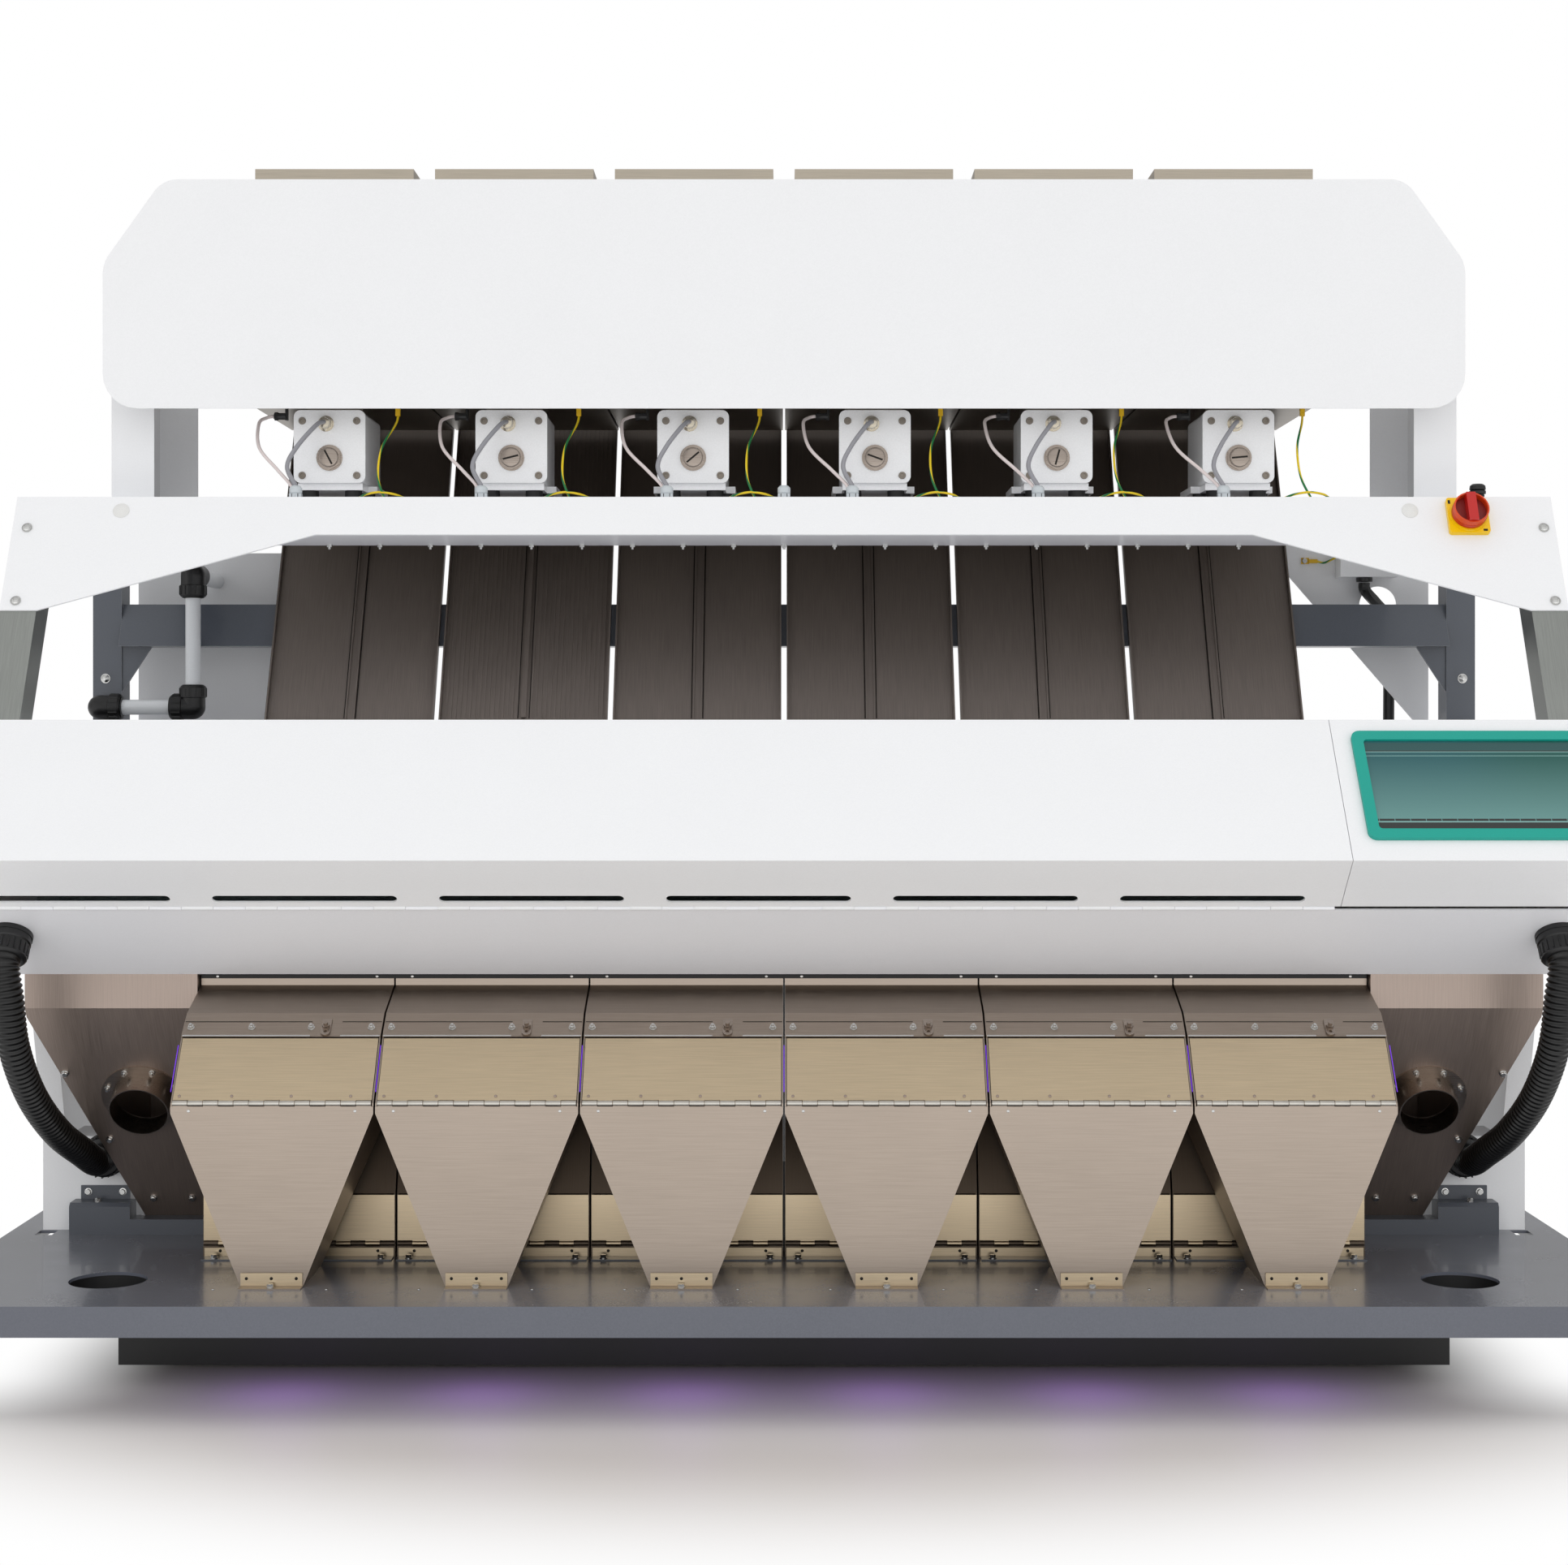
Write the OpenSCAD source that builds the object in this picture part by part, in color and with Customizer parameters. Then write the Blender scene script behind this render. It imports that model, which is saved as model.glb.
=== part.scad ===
// Optical colour sorter with six inclined chutes.
// The front faces -Y, +X is to the right of the front, the machine stands on Z = 0.

/* [Lanes] */
// Distance between two neighbouring chutes
pitch = 320; // [310:2:330]
// Gap between two neighbouring hoppers
lane_gap = 3; // [2:0.5:5]
// Width of a chute
chute_w = 310; // [296:2:316]
// Slope of the chutes from the level
chute_slope = 63; // [61:0.5:65]

/* [Base] */
// Width of the base plate beyond the lanes on each side
end_w = 382; // [376:2:400]
// Depth of the base plate
base_d = 1302; // [1280:2:1360]
// Height of the base plate's top above the floor
base_top = 187; // [175:1:210]
// Thickness of the base plate
base_t = 5; // [4:0.5:8]
// Depth of the folded lip of the base plate
base_lip = 47; // [30:1:60]
// Diameter of the two round holes in the base plate
hole_d = 122; // [90:1:140]
// Height of the levelling feet below the rails
foot_h = 62; // [50:1:75]

/* [Heights above the base plate] */
// Lower edge of the apron
h_apron = 473; // [465:1:485]
// Hinge line of the front cover
h_hinge = 590; // [580:1:600]
// Lower fold of the front cover
h_fold = 622; // [618:1:630]
// Nose of the front cover
h_nose = 669; // [660:1:680]
// Top of the front cover
h_top = 885; // [870:1:900]
// Top of the front beam and of the feeder shelf
h_beam = 1269; // [1262:1:1280]

/* [Heights above the feeder shelf] */
// Depth of the feeder shelf
shelf_h = 67; // [54:1:79]
// Underside of the feeder trays
tray_rise = 185; // [181:1:201]
// Lower edge of the header panel
header_rise = 157; // [131:1:171]
// Height of the header panel
header_h = 396; // [380:1:410]
// Rim of the inlet hoppers above the header panel
inlet_rise = 46; // [38:1:60]

/* [Front line, distances forward of the middle] */
// Top of the front cover
d_top = 393; // [385:1:400]
// Nose of the front cover
d_nose = 570; // [560:1:580]
// Lower fold of the front cover
d_fold = 515; // [510:1:520]
// Hinge line of the front cover
d_hinge = 480; // [476:1:484]
// Lower edge of the apron
d_apron = 318; // [312:1:324]
// Front plate of the collecting hoppers
d_hopper = 516; // [510:1:522]
// Top edge of the front beam
d_beam = 133; // [128:1:138]
// Header panel
d_header = 89; // [80:1:100]

/* [Sheet metal] */
// Thickness of the painted panels
sheet = 3; // [2:0.5:4]
// Thickness of the stainless hoppers and flaps
hop_t = 2; // [1.5:0.5:3]
// Radius of the hinge knuckles
knuckle_r = 4; // [3.5:0.5:5]
// Radius of the hinge pins
pin_r = 2; // [1.5:0.1:2.4]

/* [Collecting hoppers] */
// Width of a front hopper's outlet
out_w = 97; // [80:1:120]
// Height of the outlet's taper above the base plate
h_taper = 271; // [255:1:280]
// Height of the front flap's hinge above the base plate
h_flap = 287; // [284:1:295]
// Depth of a front hopper's outlet
out_d = 156; // [130:1:160]
// Height of a rear flap
rear_flap_h = 80; // [60:1:90]
// Diameter of the aspiration spigots
spigot_d = 100; // [80:1:110]
// Length of the aspiration spigots
spigot_l = 38; // [30:1:50]

/* [Feeders] */
// Width of a feeder drive
drive_w = 126; // [110:1:140]
// Depth of a feeder drive
drive_d = 190; // [160:1:200]
// Height of the rubber mounts under a drive
mount_h = 24; // [18:1:28]
// Width of a feeder tray
tray_w = 316; // [304:2:318]
// Height of a tray's walls
tray_h = 60; // [45:1:70]
// Width of an inlet hopper
inlet_w = 282; // [260:2:296]
// Depth of an inlet hopper
inlet_d = 280; // [240:2:296]

/* [Screen and switch] */
// Width of the panel that carries the screen
screen_panel_w = 435; // [425:1:450]
// Width of the screen's bezel
bezel_w = 384; // [360:1:400]
// Height of the bezel along the slope
bezel_h = 214; // [180:1:225]
// Width of the bezel's frame
bezel_rim = 18; // [12:1:24]
// Side of the main switch's square plate
switch_w = 69; // [60:1:80]
// Diameter of the main switch's knob
knob_d = 60; // [50:1:62]

/* [Hoses and pipes] */
// Outer diameter of the aspiration hoses
hose_d = 50; // [40:1:52]
// Outer diameter of the air pipes
pipe_d = 28; // [22:1:32]

/* [Hidden] */
$fn = 48;

// Lanes
lanes = 6;
half_lanes = lanes * pitch / 2;
half_w = half_lanes + end_w;
// Half width of the body above the base plate
body_half = half_w - 30;
// Running clearance between pieces that move
run = 1;
// Gap between pieces that are bolted together
seat = 0.3;
// Gap between two knuckles of a hinge
knuckle_gap = 0.6;

function lane_x(i) = (i - (lanes + 1) / 2) * pitch;
function unit(v) = v / norm(v);
function left(v) = [-v[1], v[0]];
function seg_n(p, i) = left(unit(p[i + 1] - p[i]));
// Offset direction of a folded strip at one of its points
function mitre(p, i) =
  i == 0 ? seg_n(p, 0) :
  i == len(p) - 1 ? seg_n(p, i - 1) :
  (seg_n(p, i - 1) + seg_n(p, i)) / (1 + seg_n(p, i - 1) * seg_n(p, i));
// Outline of a sheet folded along a row of points, thick to its left
function strip(p, t) = concat(p, [for (i = [len(p) - 1 : -1 : 0]) p[i] + t * mitre(p, i)]);
// Angle that turns the vertical onto a direction in the (y, z) plane
function tilt(v) = atan2(-v[0], v[1]);
// Outline with rounded corners, each point given as [x, y, radius]
function fillet(p, i) =
  let (n = len(p), a = p[(i + n - 1) % n], b = p[i], c = p[(i + 1) % n],
       u = unit([a[0] - b[0], a[1] - b[1]]), v = unit([c[0] - b[0], c[1] - b[1]]),
       half = acos(u * v) / 2, d = b[2] / tan(half),
       m = [b[0], b[1]] + unit(u + v) * b[2] / sin(half),
       s = [b[0], b[1]] + u * d - m, e = [b[0], b[1]] + v * d - m,
       turn = atan2(s[0] * e[1] - s[1] * e[0], s * e))
  b[2] == 0 ? [[b[0], b[1]]] :
  [for (k = [0 : 6]) m + [s[0] * cos(turn * k / 6) - s[1] * sin(turn * k / 6),
                          s[0] * sin(turn * k / 6) + s[1] * cos(turn * k / 6)]];
function rounded(p) = [for (i = [0 : len(p) - 1]) each fillet(p, i)];
function box_pts(w, h, r) = [[-w / 2, -h / 2, r], [w / 2, -h / 2, r], [w / 2, h / 2, r], [-w / 2, h / 2, r]];

// Profile in (y, z) carried from one x to another
module slab_x(x0, x1) { translate([x0, 0, 0]) rotate([90, 0, 90]) linear_extrude(x1 - x0) children(); }
// Profile in (x, z) carried from one y to another
module slab_y(y0, y1) { translate([0, y1, 0]) rotate([90, 0, 0]) linear_extrude(y1 - y0) children(); }
// A box between two corners
module span(a, b) { translate(a) cube(b - a); }
module both() { children(); mirror([1, 0, 0]) children(); }
module each_lane() { for (i = [1 : lanes]) translate([lane_x(i), 0, 0]) children(); }

// Hinge knuckles along X, with leaves that point up to a sheet of thickness t
module knuckles(x0, x1, n, phase, bore, t) {
  cell = (x1 - x0) / n;
  for (i = [0 : n - 1])
    if (i % 2 == phase)
      translate([x0 + i * cell + knuckle_gap / 2, 0, 0])
        difference() {
          union() {
            rotate([0, 90, 0]) cylinder(r = knuckle_r, h = cell - knuckle_gap);
            translate([0, -t / 2, 0]) cube([cell - knuckle_gap, t, leaf]);
          }
          if (bore > 0)
            translate([-1, 0, 0]) rotate([0, 90, 0]) cylinder(r = bore, h = cell + 2);
        }
}
// Knuckles along a flap and along the cover
flap_knuckles = 13;
cover_knuckles = 43;
module hinge_pin(x0, x1) { translate([x0, 0, 0]) rotate([0, 90, 0]) cylinder(r = pin_r, h = x1 - x0); }

// Heights above the floor
z_taper = base_top + h_taper;
z_flap = base_top + h_flap;
z_apron = base_top + h_apron;
z_hinge = base_top + h_hinge;
z_fold = base_top + h_fold;
z_nose = base_top + h_nose;
z_top = base_top + h_top;
z_beam = base_top + h_beam;
z_shelf = z_beam - shelf_h;
z_tray = z_beam + tray_rise;
z_header = z_beam + header_rise;
z_deck = z_header + header_h;
z_inlet = z_deck + inlet_rise;

// Hinges: distance from the axis to the edge of the sheets
leaf = knuckle_r + run;
pin_clear = 0.3;

// Collecting hoppers, points in (y, z)
hw = (pitch - lane_gap) / 2;
yf = -d_hopper;
yi = yf + hop_t;
// Half width of a front flap between the hopper's sides
kw = hw - hop_t - run;
flap_axis = [yf + hop_t / 2, z_flap];
s_top = [18 - d_apron, z_apron - 24];
s_mid = [-84 - d_apron, z_apron - 59];
s_low = [73 - d_hopper, z_flap + 94];
b_top = [136 - d_apron, z_apron - 24];
b_low = [yf + out_d, base_top];
function back_y(z) = b_low[0] + (z - b_low[1]) * (b_top[0] - b_low[0]) / (b_top[1] - b_low[1]);
flap_up = unit(s_low - flap_axis);
flap_len = norm(s_low - flap_axis) - 2 * run;
z_flange = z_apron - sheet;

// Rear hoppers
d_rear = 290;
rear_strip = 23;
z_rflap = base_top + rear_strip;
rear_axis = [-d_rear + hop_t / 2, z_rflap];
kr = hw - run;
r_side = -d_rear + hop_t + 0.3;
r_low = [-120, base_top];
r_top = [60, z_apron - 24];
r_edge = [r_side, z_rflap + rear_flap_h + 2];
r_split = [b_top[0] + 2 * hop_t, b_top[1]];
rear_out = [220, 130];

// End plates, points in (y, z)
bar_h = 26;
bar_y = [-100, -57];
e_top = [-d_apron, z_apron - 59];
e_low = [-60, base_top + bar_h];
e_up = unit(e_top - e_low);
e_x0 = half_lanes + lane_gap / 2;
e_x1 = e_x0 + 283;
spigot_x = half_lanes + 117;
spigot_p = e_top - 193 * e_up;

// Base
hole_at = [half_lanes + 109, -465];
rail_x = half_w - 192;
rail_y = [yf + out_d + 8, -d_rear - 12];
mid_rail_y = [-75, -25];
// Skirt that hides the feet from the front
skirt_y = 14 - d_rear;
rear_rail_y = [330, 390];
rail_t = 4;
foot_x = rail_x - 30;
frame_x = [body_half - 62, body_half - 22];
block_x = body_half - 172;
block_h = 163;

module base_plate() {
  color("dimgray")
  difference() {
    span([-half_w, -base_d / 2, base_top - base_lip], [half_w, base_d / 2, base_top]);
    span([base_t - half_w, base_t - base_d / 2, base_top - base_lip - 1],
         [half_w - base_t, base_d / 2 - base_t, base_top - base_t]);
    both() translate([hole_at[0], hole_at[1], base_top - base_t - 1]) cylinder(d = hole_d, h = base_t + 2);
    // Notches in front of the side frames
    both() span([frame_x[0] + 12, bar_y[1] - 46, base_top - base_t - 1],
      [frame_x[1] + 2, bar_y[1] - 6, base_top + 1]);
    each_lane() {
      span([hop_t - out_w / 2, yi, base_top - base_t - 1],
        [out_w / 2 - hop_t, b_low[0] - 2 * hop_t, base_top + 1]);
      span([-rear_out[0] / 2, r_low[0] - 20 - rear_out[1], base_top - base_t - 1],
           [rear_out[0] / 2, r_low[0] - 20, base_top + 1]);
    }
  }
}

// Rectangular tube between two corners, open along X or along Y
module rail(a, b, along) {
  difference() {
    span(a, b);
    if (along == "x")
      span(a + [-1, rail_t, rail_t], b - [-1, rail_t, rail_t]);
    else
      span(a + [rail_t, -1, rail_t], b - [rail_t, -1, rail_t]);
  }
}

module base_frame() {
  color([0.2, 0.21, 0.23]) {
    rail([-rail_x, rail_y[0], base_top - base_lip], [rail_x, rail_y[1], base_top - base_t], "x");
    span([48 - rail_x, skirt_y, 6], [rail_x - 48, skirt_y + rail_t, base_top - base_t]);
    for (y = [mid_rail_y, rear_rail_y])
      rail([-rail_x, y[0], foot_h], [rail_x, y[1], base_top - base_t], "x");
    both() for (y = [[rail_y[1], mid_rail_y[0]], [mid_rail_y[1], rear_rail_y[0]]])
      rail([rail_x - 60, y[0], foot_h], [rail_x, y[1], base_top - base_t], "y");
    // Brackets that tie the end plates and the side frames to the base
    both() slab_x(e_x0, frame_x[0] - 17)
      polygon([[bar_y[0], base_top], [bar_y[1], base_top],
        [bar_y[1], base_top + bar_h], [bar_y[0], base_top + bar_h]]);
    both() slab_x(block_x - 12, frame_x[0] - 17)
      polygon([[bar_y[0], base_top], [bar_y[1], base_top],
        [bar_y[1], base_top + 54], [bar_y[0] + 6, base_top + 54],
               [bar_y[0], base_top + 48]]);
    both() slab_x(block_x - 2, frame_x[0] - 27)
      polygon([[bar_y[1] - 4, base_top + 54], [bar_y[1], base_top + 54],
               [bar_y[1], base_top + 78], [bar_y[1] - 4, base_top + 78]]);
  }
}

module foot() {
  cylinder(d = 80, h = 10);
  translate([0, 0, 10]) cylinder(d1 = 80, d2 = 40, h = 8);
  cylinder(d = 24, h = foot_h);
  translate([0, 0, foot_h - 14]) cylinder(d = 42, h = 14, $fn = 6);
}

module levelling_feet() {
  color("gray")
  for (x = [-foot_x, 0, foot_x])
    for (y = [(mid_rail_y[0] + mid_rail_y[1]) / 2, (rear_rail_y[0] + rear_rail_y[1]) / 2])
      translate([x, y, 0]) foot();
}

// Front hopper: front plate, tapered sides, back plate, folded strip above the flap
function hopper_outline(inset) = [
  [inset - out_w / 2, base_top], [out_w / 2 - inset, base_top], [hw - inset, z_taper],
  [hw - inset, s_top[1]], [inset - hw, s_top[1]], [inset - hw, z_taper]];

module front_hopper() {
  slab_y(yf, yi)
    polygon([[-out_w / 2, base_top], [out_w / 2, base_top], [hw, z_taper], [hw, z_flap - leaf],
             [-hw, z_flap - leaf], [-hw, z_taper]]);
  translate([0, flap_axis[0], flap_axis[1]]) {
    rotate([180, 0, 0]) knuckles(-kw, kw, flap_knuckles, 0, 0, hop_t);
    hinge_pin(-kw, kw);
  }
  both() intersection() {
    slab_y(yi, 0)
      polygon([[out_w / 2 - hop_t, base_top], [out_w / 2, base_top], [hw, z_taper], [hw - hop_t, z_taper]]);
    slab_x(0, pitch)
      polygon([[yi, base_top], b_low, [back_y(z_taper), z_taper], [yi, z_taper]]);
  }
  both() slab_x(hw - hop_t, hw)
    polygon([[yi, z_taper], [back_y(z_taper), z_taper], b_top, s_top, s_mid, s_low, [yi, z_flap]]);
  intersection() {
    slab_y(yf, 0) polygon(hopper_outline(hop_t));
    slab_x(-hw, hw) polygon(strip([b_top, b_low], -hop_t));
  }
  slab_x(-hw, hw) polygon(strip([[s_top[0], z_flange], s_top, s_mid, s_low], -hop_t));
  // Foot flange and doubler
  span([-out_w / 2, yf - 21, base_top], [out_w / 2, yf, base_top + hop_t]);
  span([-out_w / 2, yf - hop_t, base_top + hop_t], [out_w / 2, yf, base_top + 20]);
}

module front_hoppers() { color([0.68, 0.64, 0.59]) each_lane() front_hopper(); }

module front_flap(i) {
  color([0.75, 0.71, 0.62])
  translate([lane_x(i), flap_axis[0], flap_axis[1]]) rotate([tilt(flap_up), 0, 0]) {
    knuckles(-kw, kw, flap_knuckles, 1, pin_r + pin_clear, hop_t);
    span([-kw, -hop_t / 2, leaf], [kw, hop_t / 2, flap_len]);
  }
}

// Turn latch on the strip above a flap
latch_x = 70;
latch_w = 15;
latch_l = 35;
latch_at = 19;

module latch(i) {
  color("lightgray")
  translate([lane_x(i) + latch_x, s_low[0], s_low[1]]) rotate([tilt(s_mid - s_low), 0, 0])
    translate([0, -hop_t - 0.3, latch_at]) rotate([90, 0, 0]) {
      difference() {
        union() {
          translate([-latch_w / 2, latch_w / 2 - latch_at + 1, 0]) cube([latch_w, latch_l - latch_w / 2, 3]);
          translate([0, latch_w / 2 - latch_at + 1, 0]) cylinder(d = latch_w, h = 3);
        }
        translate([0, latch_w / 2 - latch_at + 1, -1]) cylinder(d = 5, h = 5);
      }
      cylinder(d = 13, h = 8, $fn = 6);
      cylinder(d = 7, h = 13);
    }
}

module rear_hopper() {
  span([-hw, -d_rear, base_top], [hw, hop_t - d_rear, z_rflap - leaf]);
  translate([0, rear_axis[0], rear_axis[1]]) {
    rotate([180, 0, 0]) knuckles(-kr, kr, flap_knuckles, 0, 0, hop_t);
    hinge_pin(-kr, kr);
  }
  both() slab_x(hw - hop_t, hw) polygon([[r_side, base_top], r_low, r_top, r_split, r_edge]);
  slab_x(hop_t - hw, hw - hop_t) polygon(strip([r_edge, r_split], -hop_t));
  slab_x(hop_t - hw, hw - hop_t) polygon(strip([r_low, r_top, [r_top[0], z_flange]], hop_t));
}

module rear_hoppers() { color([0.55, 0.52, 0.47]) each_lane() rear_hopper(); }

module rear_flap(i) {
  color([0.7, 0.64, 0.52])
  translate([lane_x(i), rear_axis[0], rear_axis[1]]) {
    knuckles(-kr, kr, flap_knuckles, 1, pin_r + pin_clear, hop_t);
    span([-kr, -hop_t / 2, leaf], [kr, hop_t / 2, rear_flap_h]);
  }
}

// End plates: one folded sheet on each side of the lanes
// Closed chamber behind each end plate, which the spigot empties
chamber_x = block_x - 4;
chamber_z = base_top + block_h + 3;
chamber_y = 70;
function end_y(z) = e_low[0] + (z - e_low[1]) * (e_top[0] - e_low[0]) / (e_top[1] - e_low[1]);
function chamber(front, t) = [
  [end_y(chamber_z) + front, chamber_z + t], [chamber_y - t, chamber_z + t], [chamber_y - t, z_flange - t],
  [e_top[0] + front, z_flange - t], [e_top[0] + front, e_top[1]]];

module end_plates() {
  color([0.5, 0.47, 0.43])
  both() difference() {
    union() {
      intersection() {
        slab_x(e_x0, e_x1) polygon(strip([[e_top[0], z_flange], e_top, e_low], hop_t));
        slab_y(-base_d / 2, base_d / 2)
          polygon([[e_x0, base_top], [e_x1 - 145, base_top], [e_x1 - 133, e_low[1]], [e_x1, e_top[1] - 16],
                   [e_x1, z_flange], [e_x0, z_flange]]);
      }
      difference() {
        slab_x(e_x0, chamber_x) polygon(chamber(hop_t / 2, 0));
        slab_x(e_x0 + hop_t, chamber_x - hop_t) polygon(chamber(-20, hop_t));
      }
    }
    on_end_plate() translate([0, 0, -10]) cylinder(d = spigot_d - 2 * hop_t, h = 20);
  }
}

module on_end_plate() {
  translate([spigot_x, spigot_p[0], spigot_p[1]]) rotate([atan2(e_up[1], e_up[0]), 0, 0]) children();
}

module aspiration_spigots() {
  color([0.5, 0.48, 0.44])
  both() on_end_plate() difference() {
    union() {
      cylinder(d = spigot_d + 38, h = 3);
      cylinder(d = spigot_d, h = spigot_l);
    }
    translate([0, 0, -1]) cylinder(d = spigot_d - 2 * hop_t, h = spigot_l + 2);
  }
}

// Closed outline moved inwards, points given anticlockwise
function edge_n(p, i) = left(unit(p[(i + 1) % len(p)] - p[i]));
function inset(p, t) = [for (i = [0 : len(p) - 1])
  let (a = edge_n(p, (i + len(p) - 1) % len(p)), b = edge_n(p, i)) p[i] + t * (a + b) / (1 + a * b)];

// Side frames: folded pans, open inwards, with a box at the front foot
rear_y = 480;
side_outline = [[bar_y[1], base_top], [rear_y, base_top], [rear_y, z_flange], [bar_y[1] - 93, z_flange],
  [bar_y[1], base_top + block_h]];
module side_frames() {
  color("white")
  both() {
    difference() {
      slab_x(frame_x[0], frame_x[1]) polygon(side_outline);
      slab_x(frame_x[0] - 1, frame_x[1] - sheet) polygon(inset(side_outline, sheet));
    }
    difference() {
      span([block_x, bar_y[1], base_top], [frame_x[0], 60, base_top + block_h]);
      span([block_x + sheet, bar_y[1] + sheet, base_top - 1],
           [frame_x[0] - sheet, 60 - sheet, base_top + block_h - sheet]);
    }
  }
}

// Sheet folded along a row of points, with the points on its middle
function strip_c(p, t) = concat(
  [for (i = [0 : len(p) - 1]) p[i] - t / 2 * mitre(p, i)],
  [for (i = [len(p) - 1 : -1 : 0]) p[i] + t / 2 * mitre(p, i)]);

// Smooth curve through points, and a round tube along it
function curve_pt(p, i, u) =
  let (a = p[max(i - 1, 0)], b = p[i], c = p[i + 1], d = p[min(i + 2, len(p) - 1)])
  0.5 * (2 * b + (c - a) * u + (2 * a - 5 * b + 4 * c - d) * u * u + (3 * b - a - 3 * c + d) * u * u * u);
function curve(p, n) = concat(
  [for (i = [0 : len(p) - 2]) for (k = [0 : n - 1]) curve_pt(p, i, k / n)], [p[len(p) - 1]]);
function tangent(q, i) = unit(q[min(i + 1, len(q) - 1)] - q[max(i - 1, 0)]);
function ring(c, t, r, m) =
  let (a = unit(cross(t, [1, 0, 0])), b = cross(t, a))
  [for (k = [0 : m - 1]) c + r * (cos(360 * k / m) * a + sin(360 * k / m) * b)];

module tube(p, n, d, m) {
  q = curve(p, n);
  last = len(q) - 1;
  // The end faces stand square to the first and the last stretch
  first_t = unit(p[1] - p[0]);
  last_t = unit(p[len(p) - 1] - p[len(p) - 2]);
  polyhedron(
    points = [for (i = [0 : last])
      each ring(q[i], i == 0 ? first_t : i == last ? last_t : tangent(q, i), d / 2, m)],
    faces = concat(
      [[for (k = [0 : m - 1]) k]],
      [[for (k = [m - 1 : -1 : 0]) last * m + k]],
      [for (i = [0 : last - 1]) for (k = [0 : m - 1])
        [i * m + k, (i + 1) * m + k, (i + 1) * m + (k + 1) % m, i * m + (k + 1) % m]]));
}

// Front cover and optical housing, points in (y, z) on the middle of the sheet
c_top = [-d_top, z_top];
c_nose = [-d_nose, z_nose];
c_fold = [-d_fold, z_fold];
c_hinge = [-d_hinge, z_hinge];
a_low = [-d_apron, z_apron - sheet / 2];
u_band = unit(c_hinge - c_fold);
u_apron = unit(a_low - c_hinge);
n_apron = left(u_apron);
cover_lip = 8;
cover_path = [c_top + [cover_lip, 0], c_top, c_nose, c_fold, c_hinge - leaf * u_band];
seam_x = body_half - screen_panel_w;
cover_x = [-body_half, seam_x - run];
hinge_x = [10 - body_half, seam_x - 10];
// Top of the housing's lid and inner face of its ends
z_lid = z_top - sheet / 2 - run;
end_x = body_half - 2 - sheet;
// Hand slots of the cover
slots = 6;
slot_pitch = 356;
slot_l = 290;
slot_w = 16;
cover_mid = (cover_x[0] + cover_x[1]) / 2;
slot_at = (c_fold + c_hinge) / 2;

module cover_band(x0, x1) { slab_x(x0, x1) polygon(strip_c(cover_path, sheet)); }

module front_cover() {
  color("white") {
    difference() {
      cover_band(cover_x[0], cover_x[1]);
      for (k = [0 : slots - 1])
        translate([cover_mid + (k - (slots - 1) / 2) * slot_pitch, slot_at[0], slot_at[1]])
          rotate([tilt(left(u_band)), 0, 0]) translate([0, 0, -10]) linear_extrude(20)
            polygon(rounded(box_pts(slot_l, slot_w, slot_w / 2 - 0.1)));
    }
    translate([0, c_hinge[0], c_hinge[1]]) rotate([tilt(-u_band), 0, 0])
      knuckles(hinge_x[0], hinge_x[1], cover_knuckles, 1, pin_r + pin_clear, sheet);
  }
}

// Fixed panel beside the cover; it carries the screen
module screen_panel() { color("white") cover_band(seam_x, body_half); }

slope_up = unit(c_top - c_nose);
slope_out = [-slope_up[1], slope_up[0]];
bezel_x = seam_x + 29 + bezel_w / 2;
bezel_p = c_top - (28 + bezel_h / 2) * slope_up + slope_out * (sheet / 2 + seat);
bezel_t = 7;
module on_screen() {
  translate([bezel_x, bezel_p[0], bezel_p[1]]) rotate([atan2(slope_up[1], slope_up[0]), 0, 0]) children();
}

module screen_bezel() {
  color([0, 0.69, 0.6])
  on_screen() difference() {
    linear_extrude(bezel_t) polygon(rounded(box_pts(bezel_w, bezel_h, 14)));
    translate([0, 0, -1]) linear_extrude(bezel_t + 2)
      polygon(rounded(box_pts(bezel_w - 2 * bezel_rim, bezel_h - 2 * bezel_rim, 6)));
  }
}

module touch_screen() {
  color([0.25, 0.47, 0.47])
  on_screen() linear_extrude(3)
    polygon(rounded(box_pts(bezel_w - 2 * bezel_rim - 0.4, bezel_h - 2 * bezel_rim - 0.4, 6)));
}

// Chutes, plane through a point in (y, z)
chute_p = [201, base_top + 891];
chute_t = 4;
chute_edge = 12;
chute_low = -278;
function chute_y(z) = chute_p[0] + (z - chute_p[1]) / tan(chute_slope);
chute_high = (z_tray + tray_h - chute_p[1]) / sin(chute_slope);
module on_chute() { translate([0, chute_p[0], chute_p[1]]) rotate([chute_slope, 0, 0]) children(); }

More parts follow.
